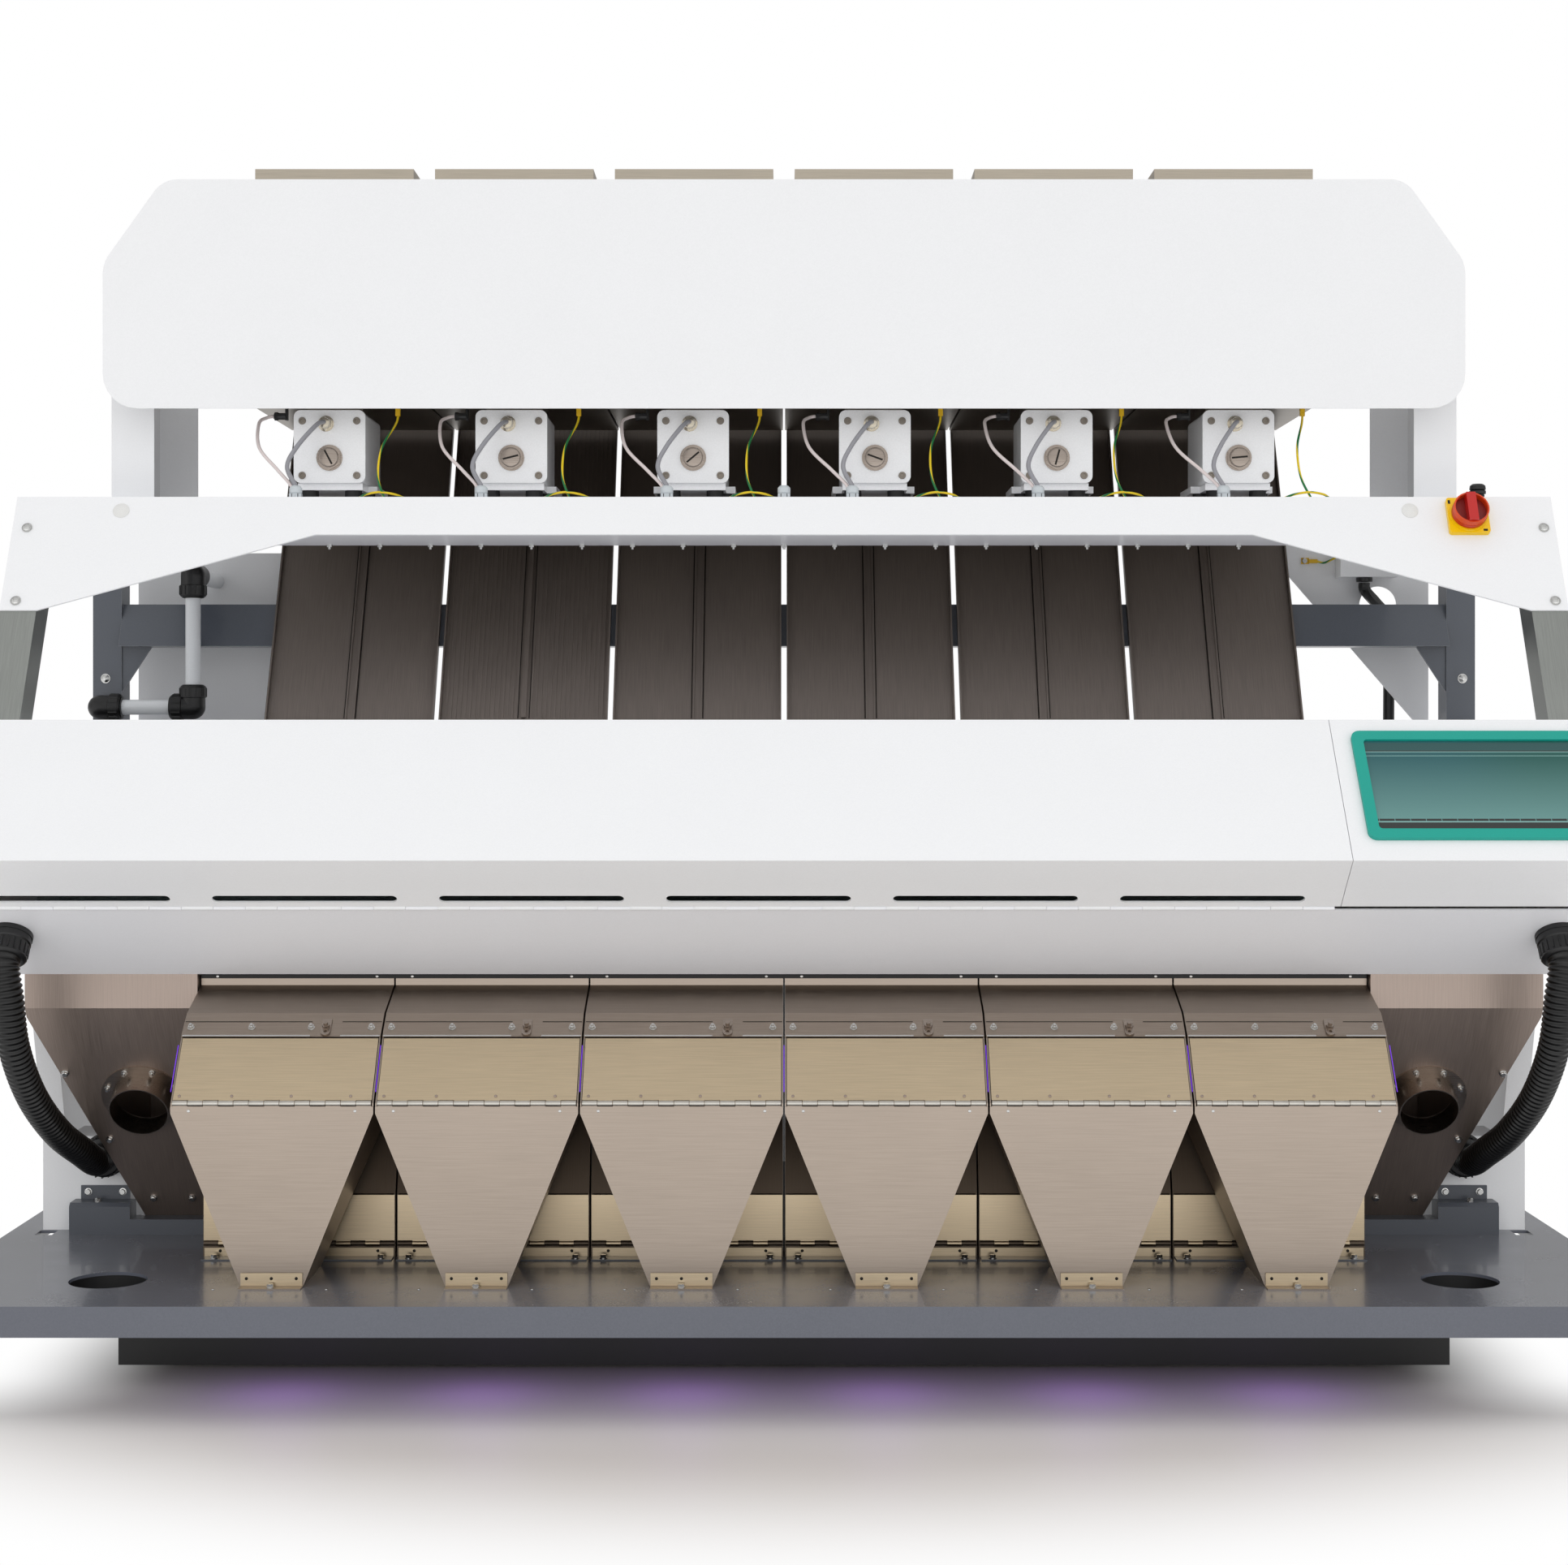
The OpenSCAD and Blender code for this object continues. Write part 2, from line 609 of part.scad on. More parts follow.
// Optical housing: lid, rear, floor, apron and two ends
lid_y = [c_top[0] + cover_lip + 6, chute_y(z_lid) - 34];
wall_x = end_x - seat;
floor_y = [r_top[0] - hop_t, rear_y];
rear_lid_y = chute_y(z_lid) + 34;
module optical_housing() {
  color([0.93, 0.94, 0.95]) {
    span([-wall_x, lid_y[0], z_lid - sheet], [wall_x, lid_y[1], z_lid]);
    slab_x(-wall_x, wall_x)
      polygon(strip([[floor_y[0], z_flange], [rear_y, z_flange],
        [rear_y, z_lid], [rear_lid_y, z_lid]], sheet));
    slab_x(-wall_x, wall_x)
      polygon(strip_c([c_hinge + leaf * u_apron, a_low, a_low + [30, 0]], sheet));
    translate([0, c_hinge[0], c_hinge[1]]) {
      rotate([tilt(u_apron), 0, 0]) knuckles(hinge_x[0], hinge_x[1], cover_knuckles, 0, 0, sheet);
      hinge_pin(hinge_x[0], hinge_x[1]);
    }
    both() slab_x(end_x, end_x + sheet)
      polygon(concat(
        [for (i = [1 : 3]) cover_path[i] + (sheet / 2 + run) * mitre(cover_path, i)],
        [c_hinge + (sheet / 2 + run) * left(u_band), c_hinge + leaf * u_apron - n_apron * sheet / 2,
         [a_low[0], z_flange], [rear_y, z_flange], [rear_y, z_lid], [lid_y[0], z_lid]]));
  }
}

// Product stream below the chutes, and what looks at it
stream_p = [chute_y(base_top + 553), base_top + 553];
stream_up = [cos(chute_slope), sin(chute_slope)];
stream_out = [-sin(chute_slope), cos(chute_slope)];
module on_stream() { translate([0, stream_p[0], stream_p[1]]) rotate([chute_slope, 0, 0]) children(); }
window_y = [-45, 85];
window_gap = 62;

module viewing_windows() {
  color([0.7, 0.8, 0.85])
  for (z = [window_gap, -window_gap - 6])
    on_stream() span([-end_x, window_y[0], z], [end_x, window_y[1], z + 6]);
}

// Lamps in front of and behind the stream
lamp_d = 26;
lamps = [[-50, window_gap + 36], [50, window_gap + 36], [0, -window_gap - 36], [70, -window_gap - 36]];
module light_bars() {
  color([0.95, 0.95, 0.9])
  for (p = lamps)
    on_stream() translate([-end_x, p[0], p[1]]) rotate([0, 90, 0]) cylinder(d = lamp_d, h = 2 * end_x);
}

module camera_units() {
  color([0.18, 0.18, 0.2]) on_stream() {
    span([-end_x, -30, 244], [end_x, 30, 250]);
    each_lane() {
      span([-45, -30, 182], [45, 30, 244]);
      translate([0, 0, 150]) cylinder(d = 40, h = 32);
    }
  }
}

// Air nozzles in a row behind the stream
module ejector_bars() {
  color([0.7, 0.7, 0.72]) on_stream() difference() {
    span([-end_x, -60, -60], [end_x, -30, -24]);
    each_lane() for (k = [-5 : 5])
      translate([k * pitch / 12, -45, -40]) cylinder(d = 6, h = 30, $fn = 16);
  }
}

// Hoses: upper end on the apron, lower end on the side frame, free points between
collar_d = hose_d + 12;
collar_l = 30;
hose_up = [body_half - 75, (c_hinge + 76 * u_apron - n_apron * (sheet / 2 + seat))[0],
           (c_hinge + 76 * u_apron - n_apron * (sheet / 2 + seat))[1]];
hose_low = [body_half - 132, bar_y[1], base_top + 131];
up_out = [0, -n_apron[0], -n_apron[1]];
hose_mid = [[1230, -455, 630], [1228, -430, 550], [1219, -366, 464], [1202, -280, 392], [1184, -190, 343]];
hose_pts = concat([hose_up + up_out * (collar_l + 0.3), hose_up + up_out * (collar_l + 30)], hose_mid,
  [hose_low - [0, collar_l + 40, 0], hose_low - [0, collar_l + 0.3, 0]]);

module hose_right() { color([0.05, 0.05, 0.06]) tube(hose_pts, 3, hose_d, 12); }
module hose_left() { mirror([1, 0, 0]) hose_right(); }

module hose_connectors() {
  color([0.1, 0.1, 0.11])
  both() {
    translate(hose_up) rotate([tilt(-n_apron), 0, 0]) {
      cylinder(d = collar_d + 10, h = 8);
      cylinder(d = collar_d, h = collar_l);
    }
    translate(hose_low) rotate([90, 0, 0]) {
      cylinder(d = collar_d + 4, h = 8);
      cylinder(d = collar_d, h = collar_l);
    }
  }
}

// Front beam, parallel to the chutes
beam_end = 223;
beam_mid = (z_beam - z_shelf) / sin(chute_slope);
beam_arch = half_lanes - 164;
post_w = 61;
module on_beam() { translate([0, -d_beam, z_beam]) rotate([chute_slope, 0, 0]) children(); }

module front_beam() {
  color("white") on_beam() translate([0, 0, -sheet]) linear_extrude(sheet)
    polygon([[-body_half, 0], [body_half, 0], [body_half, -beam_end], [body_half - post_w - 1, -beam_end],
             [beam_arch, -beam_mid], [-beam_arch, -beam_mid], [post_w + 1 - body_half, -beam_end],
             [-body_half, -beam_end]]);
}

// Length of the posts down the slope, beyond the lid that they end on
post_run = (z_beam - z_lid) / sin(chute_slope) + 200;
module beam_posts() {
  color([0.55, 0.56, 0.56])
  both() intersection() {
    on_beam() difference() {
      span([body_half - post_w, -post_run, -sheet - post_w], [body_half, -4, -sheet]);
      span([body_half - post_w + 3, -post_run - 1, 3 - sheet - post_w], [body_half - 3, -7, -sheet - 3]);
    }
    span([0, -base_d, z_lid], [half_w, base_d, z_inlet]);
  }
}

// Main switch on the right end of the beam
switch_x = half_lanes + 204;
switch_s = -42;
module switch_plate() {
  color([0.98, 0.82, 0])
  on_beam() translate([switch_x, switch_s, 0]) {
    linear_extrude(9) polygon(rounded(box_pts(switch_w, switch_w, 5)));
    cylinder(d = knob_d + 6, h = 14);
  }
}

module switch_knob() {
  color([0.8, 0.1, 0.08])
  on_beam() translate([switch_x, switch_s, 14.3]) {
    cylinder(d = knob_d, h = 8);
    translate([-8, 3 - knob_d / 2, 0]) cube([16, knob_d - 6, 26]);
  }
}

// Feeder shelf: closed folded box behind the beam
shelf_y = 92;
function beam_y(z) = -d_beam - (z_beam - z) / tan(chute_slope) + sheet / sin(chute_slope);
shelf_x = body_half - 67;
module feeder_shelf() {
  color([0.85, 0.86, 0.88])
  difference() {
    slab_x(-shelf_x, shelf_x)
      polygon([[beam_y(z_beam), z_beam], [shelf_y, z_beam], [shelf_y, z_shelf], [beam_y(z_shelf), z_shelf]]);
    slab_x(sheet - shelf_x, shelf_x - sheet)
      polygon([[beam_y(z_beam) + 2 * sheet, z_beam - sheet], [shelf_y - sheet, z_beam - sheet],
               [shelf_y - sheet, z_shelf + sheet], [beam_y(z_shelf) + 3 * sheet, z_shelf + sheet]]);
  }
}

// Feeder drives on rubber mounts
drive_y = -9;
flange_t = 12;
drive_gap = 21;
z_drive = z_beam + mount_h + flange_t;
drive_h = z_tray - drive_gap - z_drive;
mount_at = [[-38, 16], [38, 16], [-52, 76], [52, 76]];

module feeder_drive() {
  translate([0, 0, z_drive + drive_h / 2]) {
    slab_y(drive_y, drive_y + 14) polygon(rounded(box_pts(drive_w, drive_h, 12)));
    slab_y(drive_y + 14, drive_y + drive_d) polygon(rounded(box_pts(drive_w - 8, drive_h, 8)));
  }
  span([-drive_w / 2 + 6, drive_y + 8, z_drive - flange_t], [drive_w / 2 - 6, drive_y + 70, z_drive]);
  span([-drive_w / 2 - 10, drive_y + 70, z_drive - flange_t], [drive_w / 2 + 10, drive_y + drive_d, z_drive]);
  // Cable gland and slotted plug on the cover
  translate([-6, drive_y, z_drive + drive_h - 24]) rotate([90, 0, 0]) {
    cylinder(d = 20, h = 8, $fn = 6);
    cylinder(d = 15, h = 20);
  }
  translate([0, drive_y, z_drive + 44]) rotate([90, 0, 0]) difference() {
    union() {
      cylinder(d = 38, h = 6, $fn = 6);
      cylinder(d = 30, h = 9);
    }
    translate([-20, -2, 6]) cube([40, 4, 4]);
  }
}

module feeder_drives() { color([0.9, 0.91, 0.94]) each_lane() feeder_drive(); }

module drive_mounts() {
  color([0.12, 0.12, 0.12])
  each_lane() for (p = mount_at) translate([p[0], p[1], z_beam]) cylinder(d = 30, h = mount_h);
}

// Feeder trays, open above and to the rear
tray_y = [20, 470];
tray_t = 3;
module tray(i) {
  color([0.3, 0.28, 0.27])
  translate([lane_x(i), 0, 0]) {
    difference() {
      span([-tray_w / 2, tray_y[0], z_tray], [tray_w / 2, tray_y[1], z_tray + tray_h]);
      span([tray_t - tray_w / 2, tray_y[0] + tray_t, z_tray + tray_t],
           [tray_w / 2 - tray_t, tray_y[1] + 1, z_tray + tray_h + 1]);
    }
    span([-50, tray_y[0] + 20, z_tray - drive_gap + 0.3], [50, drive_y + drive_d - 20, z_tray]);
  }
}

// Inlet hoppers hang on two rails of the header
inlet_y = 40;
inlet_low = z_tray + tray_t + 24;
z_rail = z_deck - 175;
module inlet_hopper() {
  for (y = [inlet_y, inlet_y + inlet_d - hop_t])
    span([-inlet_w / 2, y, inlet_low], [inlet_w / 2, y + hop_t, z_inlet]);
  for (x = [-inlet_w / 2, inlet_w / 2 - hop_t])
    span([x, inlet_y + hop_t, inlet_low], [x + hop_t, inlet_y + inlet_d - hop_t, z_inlet]);
  span([-inlet_w / 2, inlet_y - 16, z_rail], [inlet_w / 2, inlet_y, z_rail + hop_t]);
  span([-inlet_w / 2, inlet_y + inlet_d, z_rail], [inlet_w / 2, inlet_y + inlet_d + 14, z_rail + hop_t]);
}

module inlet_hoppers() { color([0.72, 0.69, 0.64]) each_lane() inlet_hopper(); }

// Header: front and rear panels and the rails between the columns
column_x = [half_lanes + 151, half_lanes + 226];
column_y = [0, inlet_y + inlet_d + 20];
header_w = half_lanes + 218;
function header_outline(low) = rounded([[-header_w, low, 60], [header_w, low, 60],
  [header_w, z_deck - 145, 60], [header_w - 104, z_deck, 50], [104 - header_w, z_deck, 50],
  [-header_w, z_deck - 145, 60]]);

module header_panels() {
  color("white") {
    slab_y(-d_header, sheet - d_header) polygon(header_outline(z_header));
    slab_y(column_y[1], column_y[1] + sheet) polygon(header_outline(z_tray + tray_h + 60));
    span([sheet - column_x[1], column_y[0] + sheet, z_rail - 40],
      [column_x[1] - sheet, inlet_y - 0.3, z_rail]);
    span([sheet - column_x[1], inlet_y + inlet_d + 0.3, z_rail - 40],
         [column_x[1] - sheet, column_y[1] - sheet, z_rail]);
  }
}

module header_columns() {
  color([0.94, 0.94, 0.95])
  both() {
    difference() {
      span([column_x[0], column_y[0], z_beam], [column_x[1], column_y[1], z_rail + 3]);
      span([column_x[0] - 1, column_y[0] + sheet, z_beam - 1],
        [column_x[1] - sheet, column_y[1] - sheet, z_rail + 4]);
    }
    // Distance piece between column and front panel
    span([column_x[0], sheet - d_header, z_rail - 150], [column_x[1] - 20, column_y[0], z_rail - 20]);
  }
}

// Chutes: tray with folded edges and a middle rib; the second one is grooved
chute_rib = 5;
groove_n = 34;
function chute_top(grooved) = grooved
  ? [for (k = [0 : groove_n - 1]) let (x = (k + 0.5) * (chute_w - 14) / groove_n - chute_w / 2 + 7)
      each [[x - 2, 0], [x - 2, 1.5], [x + 2, 1.5], [x + 2, 0]]]
  : [];
module chute(grooved) {
  on_chute() {
    slab_y(chute_low, chute_high)
      polygon(concat([[-chute_w / 2, -chute_t], [-chute_w / 2, chute_edge], [3 - chute_w / 2, chute_edge],
        [3 - chute_w / 2, 0]], chute_top(grooved),
        grooved ? [] : [[-9, 0], [-9, chute_rib], [-6, chute_rib], [-6, 1.5],
          [6, 1.5], [6, chute_rib], [9, chute_rib],
                        [9, 0]],
        [[chute_w / 2 - 3, 0], [chute_w / 2 - 3, chute_edge],
          [chute_w / 2, chute_edge], [chute_w / 2, -chute_t]]));
  }
}

module chutes() {
  color([0.27, 0.24, 0.22])
  for (i = [1 : lanes]) translate([lane_x(i), 0, 0]) chute(i == 2);
}

// Rear frame: posts, stubs under the columns, crossbeam behind the chutes
post_y = [300, 360];
post_x = [body_half - 66, body_half - 12];
cross_h = 80;
cross_m = (z_lid + z_beam) / 2 - 8.75;
cross_z = [cross_m - cross_h / 2, cross_m + cross_h / 2];
// Depth of the braces under the crossbeam, clear of the lid
brace_h = cross_z[0] - z_lid - 59.5;
cross_y = 370;
function chute_back(z) = chute_y(z) + chute_t / sin(chute_slope);
module rear_frame() {
  color([0.28, 0.3, 0.33]) {
    both() {
      span([post_x[0], post_y[0], z_lid], [post_x[1], post_y[1], z_beam - 60]);
      span([column_x[0], post_y[0], z_beam - 60], [post_x[1], column_y[1], z_beam]);
      slab_y(post_y[0] + 4, post_y[0] + 10)
        polygon([[post_x[0], cross_z[0]], [post_x[0] - 56, cross_z[0]], [post_x[0], cross_z[0] - brace_h]]);
    }
    slab_x(-post_x[0], post_x[0])
      polygon(strip([[cross_y, cross_z[1]], [chute_back(cross_z[1]), cross_z[1]],
        [chute_back(cross_z[0]), cross_z[0]], [cross_y, cross_z[0]]], 4));
  }
}

// Panels behind the chutes, standing on the housing
panel_y = 450;
// Top of the gusset, depth of its short end and of its wiring box
gusset_z = z_shelf + 51;
gusset_end = 79.5;
box_h = 88.5;
module side_panels() {
  color("white") {
    span([60 - body_half, panel_y, z_lid], [-half_lanes, panel_y + sheet, z_shelf + 11]);
    // Gusset on the right with a box for the wiring
    slab_y(panel_y, panel_y + sheet)
      difference() {
        polygon([[half_lanes + 14, gusset_z - gusset_end],
          [half_lanes + 266, z_lid], [half_lanes + 290, z_lid],
                 [half_lanes + 290, gusset_z], [half_lanes + 14, gusset_z]]);
        translate([duct_x + 1, duct_z - 12]) circle(d = 72);
      }
    span([half_lanes + 109, panel_y - 50, duct_z + 40], [half_lanes + 220, panel_y, gusset_z]);
  }
}
// Duct from the wiring box through the gusset to the lid
duct_x = half_lanes + 191;
duct_z = gusset_z - box_h - 40;
duct_at = [duct_x, panel_y, duct_z];
duct_in = duct_at + [-31, -25, 40 - seat];
duct = concat([for (p = [[-31, -25, 29.6], [-31, -25, 19], [-22, -18, 8], [-1, -1, -10], [20, 16, -36],
    [26, 17, -36 - min(79, (duct_z - 36 - z_lid) / 2)]])
  duct_at + p], [[duct_x + 26, panel_y + 17, z_lid + seat]]);

// Air line on the left: pipes and push-in fittings
air = [half_lanes + 140, 250, z_lid + 30];
air_top = z_shelf - 44;
fit_d = pipe_d + 17;
air_out = post_x[0] + 27;
module air_pipes() {
  color([0.9, 0.9, 0.92])
  mirror([1, 0, 0]) {
    translate([air[0], air[1], air[2] + 40]) cylinder(d = pipe_d, h = air_top - air[2] - 80);
    translate([air[0] + 40, air[1], air[2]]) rotate([0, 90, 0])
      cylinder(d = pipe_d, h = air_out - air[0] - 80);
    translate([air[0], air[1] + 40, air_top]) rotate([-90, 0, 0])
      cylinder(d = pipe_d, h = panel_y - air[1] - 40);
  }
}

// Elbow with two sockets, along +Z and along the given direction
module elbow(turn) {
  sphere(d = fit_d);
  cylinder(d = fit_d, h = 40);
  rotate(turn) cylinder(d = fit_d, h = 40);
}

module line_fittings() {
  color([0.08, 0.08, 0.09])
  mirror([1, 0, 0]) {
    translate(air) elbow([0, 90, 0]);
    translate([air[0], air[1], air_top]) rotate([0, 180, 0]) elbow([-90, 0, 0]);
    translate([air_out, air[1], air[2]]) {
      rotate([0, -90, 0]) cylinder(d = fit_d, h = 40);
      sphere(d = fit_d);
      rotate([-90, 0, 0]) cylinder(d = fit_d, h = post_y[0] - air[1]);
    }
  }
  color([0.08, 0.08, 0.09]) {
    tube(duct, 4, 22, 12);
    translate(duct_in - [0, 0, 8]) cylinder(d = 31, h = 8);
  }
  // Glands on top of the shelf, behind the beam
  color([0.6, 0.61, 0.63]) {
    for (x = gland_x) translate([x, gland_y, z_beam]) {
      cylinder(d = 22, h = 8, $fn = 6);
      cylinder(d = 17, h = 20);
    }
  }
}
gland_y = -100;
gland_x = concat([for (i = [1 : lanes]) lane_x(i) - 42], [0, half_lanes + 236]);

// Leads of each feeder: supply, tray sensor and earth
supply = [[-6, -30, 143], [-16, -52, 132], [-44, -78, 92], [-58, -94, 56], [-42, -100, 22]];
sensor = [[-118, 15, 194], [-122, -4, 144], [-112, -44, 74], [-84, -74, 26], [-74, -88, 1]];
earth = [[112, 16, 204], [110, -4, 164], [98, -44, 94], [104, -80, 34], [118, -96, 1]];
module feeder_leads() {
  color([0.7, 0.7, 0.72])
  each_lane() translate([0, 0, z_beam]) {
    tube(supply, 3, 8, 8);
    tube(sensor, 3, 6, 8);
    tube(earth, 3, 4, 8);
  }
}

base_plate();
base_frame();
levelling_feet();
front_hoppers();
rear_hoppers();
front_flap(1);  // front_flap_1
front_flap(2);  // front_flap_2
front_flap(3);  // front_flap_3
front_flap(4);  // front_flap_4
front_flap(5);  // front_flap_5
front_flap(6);  // front_flap_6
rear_flap(1);  // rear_flap_1
rear_flap(2);  // rear_flap_2
rear_flap(3);  // rear_flap_3
rear_flap(4);  // rear_flap_4
rear_flap(5);  // rear_flap_5
rear_flap(6);  // rear_flap_6
latch(1);  // latch_1
latch(2);  // latch_2
latch(3);  // latch_3
latch(4);  // latch_4
latch(5);  // latch_5
latch(6);  // latch_6
end_plates();
aspiration_spigots();
side_frames();
hose_left();
hose_right();
hose_connectors();
front_cover();
screen_panel();
screen_bezel();
touch_screen();
optical_housing();
viewing_windows();
light_bars();
camera_units();
ejector_bars();
front_beam();
beam_posts();
switch_plate();
switch_knob();
feeder_shelf();
feeder_drives();
drive_mounts();
tray(1);  // tray_1
tray(2);  // tray_2
tray(3);  // tray_3
tray(4);  // tray_4
tray(5);  // tray_5
tray(6);  // tray_6
inlet_hoppers();
header_panels();
header_columns();
chutes();
rear_frame();
side_panels();
air_pipes();
line_fittings();
feeder_leads();
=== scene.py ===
"""Finish and fine detail of an optical colour sorter with six inclined chutes.

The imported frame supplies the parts. This script adds fasteners, hoses, leads, the lit screen and
every surface finish, and sets up the view. Lengths are metres in the row frame: the front faces -Y,
+X is to the right of the front and the machine stands on Z = 0.
"""

import logging
import math
from dataclasses import dataclass, field
from enum import Enum

import bpy
import numpy as np
from mathutils import Matrix


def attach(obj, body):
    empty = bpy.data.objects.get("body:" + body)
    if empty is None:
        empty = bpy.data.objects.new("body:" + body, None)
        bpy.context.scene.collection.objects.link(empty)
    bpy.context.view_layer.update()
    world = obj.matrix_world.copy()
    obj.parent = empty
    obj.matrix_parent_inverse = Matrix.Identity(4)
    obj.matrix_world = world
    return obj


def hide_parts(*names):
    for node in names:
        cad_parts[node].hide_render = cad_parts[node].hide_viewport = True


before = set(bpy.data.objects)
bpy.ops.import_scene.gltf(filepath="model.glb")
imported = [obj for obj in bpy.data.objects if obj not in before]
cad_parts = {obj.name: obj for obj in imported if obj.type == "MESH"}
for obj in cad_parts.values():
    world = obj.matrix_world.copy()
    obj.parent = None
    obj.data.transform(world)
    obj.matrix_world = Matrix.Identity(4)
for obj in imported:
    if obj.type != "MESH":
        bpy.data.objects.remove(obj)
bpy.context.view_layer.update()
LOG = logging.getLogger("sorter")

MM = 0.001
# Distance between two lanes, the lanes' middles and the seams between them in millimetres; LANES is metres
LANE_PITCH = 320.0
LANES_MM = (np.arange(6) - 2.5) * LANE_PITCH
LANES = LANES_MM * MM
SEAMS = (np.arange(7) - 3.0) * LANE_PITCH
# Knuckles of a front flap's hinge, and half the length of their row in millimetres
KNUCKLES, KNUCKLE_HALF = 13, 155.5
# Heights of the base plate's top and of the front beam's top in millimetres
BASE_TOP, BEAM_TOP = 187.0, 1456.0
# Directions up and out of the chutes and of the front beam's face
SLOPE_UP, SLOPE_OUT = np.array([0.0, 0.454, 0.891]), np.array([0.0, -0.891, 0.454])
# Range that the noise of a grain mostly keeps to, and the depth of its bumps in metres
GRAIN_LOW, GRAIN_HIGH, GRAIN_DEPTH = 0.3, 0.7, 0.0004
# Points round a lead, and rings along it
LEAD_SIDES, LEAD_RINGS = 12, 60
Rgb = tuple[float, float, float]
Point = tuple[float, float, float]
Row = tuple[float, float, float]
FORWARD, UPWARD = (0.0, -1.0, 0.0), (0.0, 0.0, 1.0)


@dataclass
class Surface:
    """Points and faces of one mesh.

    Attributes:
        points: Array of points, one row each.
        quads: Array of four point numbers per face.
        caps: Faces with any number of corners.
    """

    points: np.ndarray
    quads: np.ndarray
    caps: list[np.ndarray] = field(default_factory=list)

    def placed(self, origin: np.ndarray, out: np.ndarray, spin: float = 0.0) -> "Surface":
        """Carries the surface so that its own Z axis points along a direction.

        Args:
            origin: Where the surface's origin goes.
            out: Direction of the surface's Z axis.
            spin: Turn about that direction, in radians.

        Returns:
            The carried surface.
        """
        axes = axes_of(np.asarray(out, float))
        c, s = math.cos(spin), math.sin(spin)
        turn = np.array([[c, s, 0.0], [-s, c, 0.0], [0.0, 0.0, 1.0]])
        return Surface(self.points @ turn @ axes + np.asarray(origin, float), self.quads, self.caps)

    def repeated(self, shifts: np.ndarray) -> "Surface":
        """Sets a copy of the surface at each of several shifts.

        Args:
            shifts: Array of shifts, one row each.

        Returns:
            All the copies as one surface.
        """
        shifts = np.atleast_2d(np.asarray(shifts, float))
        count, size = len(shifts), len(self.points)
        points = (self.points[None] + shifts[:, None]).reshape(-1, 3)
        step = np.arange(count) * size
        quads = (self.quads[None] + step[:, None, None]).reshape(-1, 4)
        caps = [cap + first for first in step for cap in self.caps]
        return Surface(points, quads, caps)

    def mirrored(self) -> "Surface":
        """Reflects the surface to the other side of the machine.

        Returns:
            The reflected surface, with its faces still outward.
        """
        flip = np.array([-1.0, 1.0, 1.0])
        return Surface(self.points * flip, self.quads[:, ::-1], [cap[::-1] for cap in self.caps])


def axes_of(out: np.ndarray) -> np.ndarray:
    """Three axes, the last one along a direction and the first as near the row frame's X as can be.

    Args:
        out: The direction.

    Returns:
        The axes as the rows of a matrix.
    """
    z = out / np.linalg.norm(out)
    guide = np.array([1.0, 0.0, 0.0]) if abs(z[0]) < 0.9 else np.array([0.0, 1.0, 0.0])
    x = guide - z * (guide @ z)
    x /= np.linalg.norm(x)
    return np.stack([x, np.cross(z, x), z])


def joined(*parts: Surface) -> Surface:
    """Puts several surfaces into one.

    Args:
        parts: The surfaces.

    Returns:
        One surface with all their points and faces.
    """
    first = np.cumsum([0] + [len(p.points) for p in parts[:-1]])
    return Surface(
        np.concatenate([p.points for p in parts]),
        np.concatenate([p.quads + f for p, f in zip(parts, first)]),
        [cap + f for p, f in zip(parts, first) for cap in p.caps],
    )


def grid_quads(rows: int, columns: int, closed: bool) -> np.ndarray:
    """Faces between the neighbouring points of a grid.

    Args:
        rows: Number of rows of points.
        columns: Number of points in a row.
        closed: Whether the last column joins the first.

    Returns:
        Array of four point numbers per face.
    """
    across = columns if closed else columns - 1
    r, c = np.meshgrid(np.arange(rows - 1), np.arange(across), indexing="ij")
    a, b = r * columns + c, r * columns + (c + 1) % columns
    return np.stack([a, b, b + columns, a + columns], -1).reshape(-1, 4)


def turned(profile: list[Row], sides: int = 24) -> Surface:
    """Turns a profile in millimetres about Z.

    A point of the surface is at the profile's radius times a factor, and at the profile's height. The
    factor is 1 for a round ring and the polar radius of a hexagon, cos 30 over the cosine of the angle
    from the nearest flat, for a ring with six sides.

    Args:
        profile: Rows of radius, height and share of the hexagon, from the lower end to the upper.
        sides: Number of points in a ring.

    Returns:
        The closed surface, in metres.
    """
    rows = np.asarray(profile, float) * [MM, MM, 1.0]
    angle = np.arange(sides) * 2 * np.pi / sides
    flat = (angle + np.pi / 6) % (np.pi / 3) - np.pi / 6
    hexagon = np.cos(np.pi / 6) / np.cos(flat)
    factor = 1 + rows[:, 2:3] * (hexagon[None] - 1)
    radius = rows[:, 0:1] * factor
    height = np.broadcast_to(rows[:, 1:2], radius.shape)
    points = np.stack([radius * np.cos(angle), radius * np.sin(angle), height], -1).reshape(-1, 3)
    last = (len(rows) - 1) * sides + np.arange(sides)
    return Surface(points, grid_quads(len(rows), sides, True), [np.arange(sides)[::-1], last])


def collar(profile: list[Row], sides: int) -> Surface:
    """Turns a profile that closes on itself about Z, so that the middle stays open.

    Args:
        profile: Rows of radius, height and share of the hexagon in millimetres, turning to the left.
        sides: Number of points in a ring.

    Returns:
        The closed collar, in metres.
    """
    points = turned(profile, sides).points
    return Surface(points, grid_quads(len(profile) + 1, sides, True) % len(points))


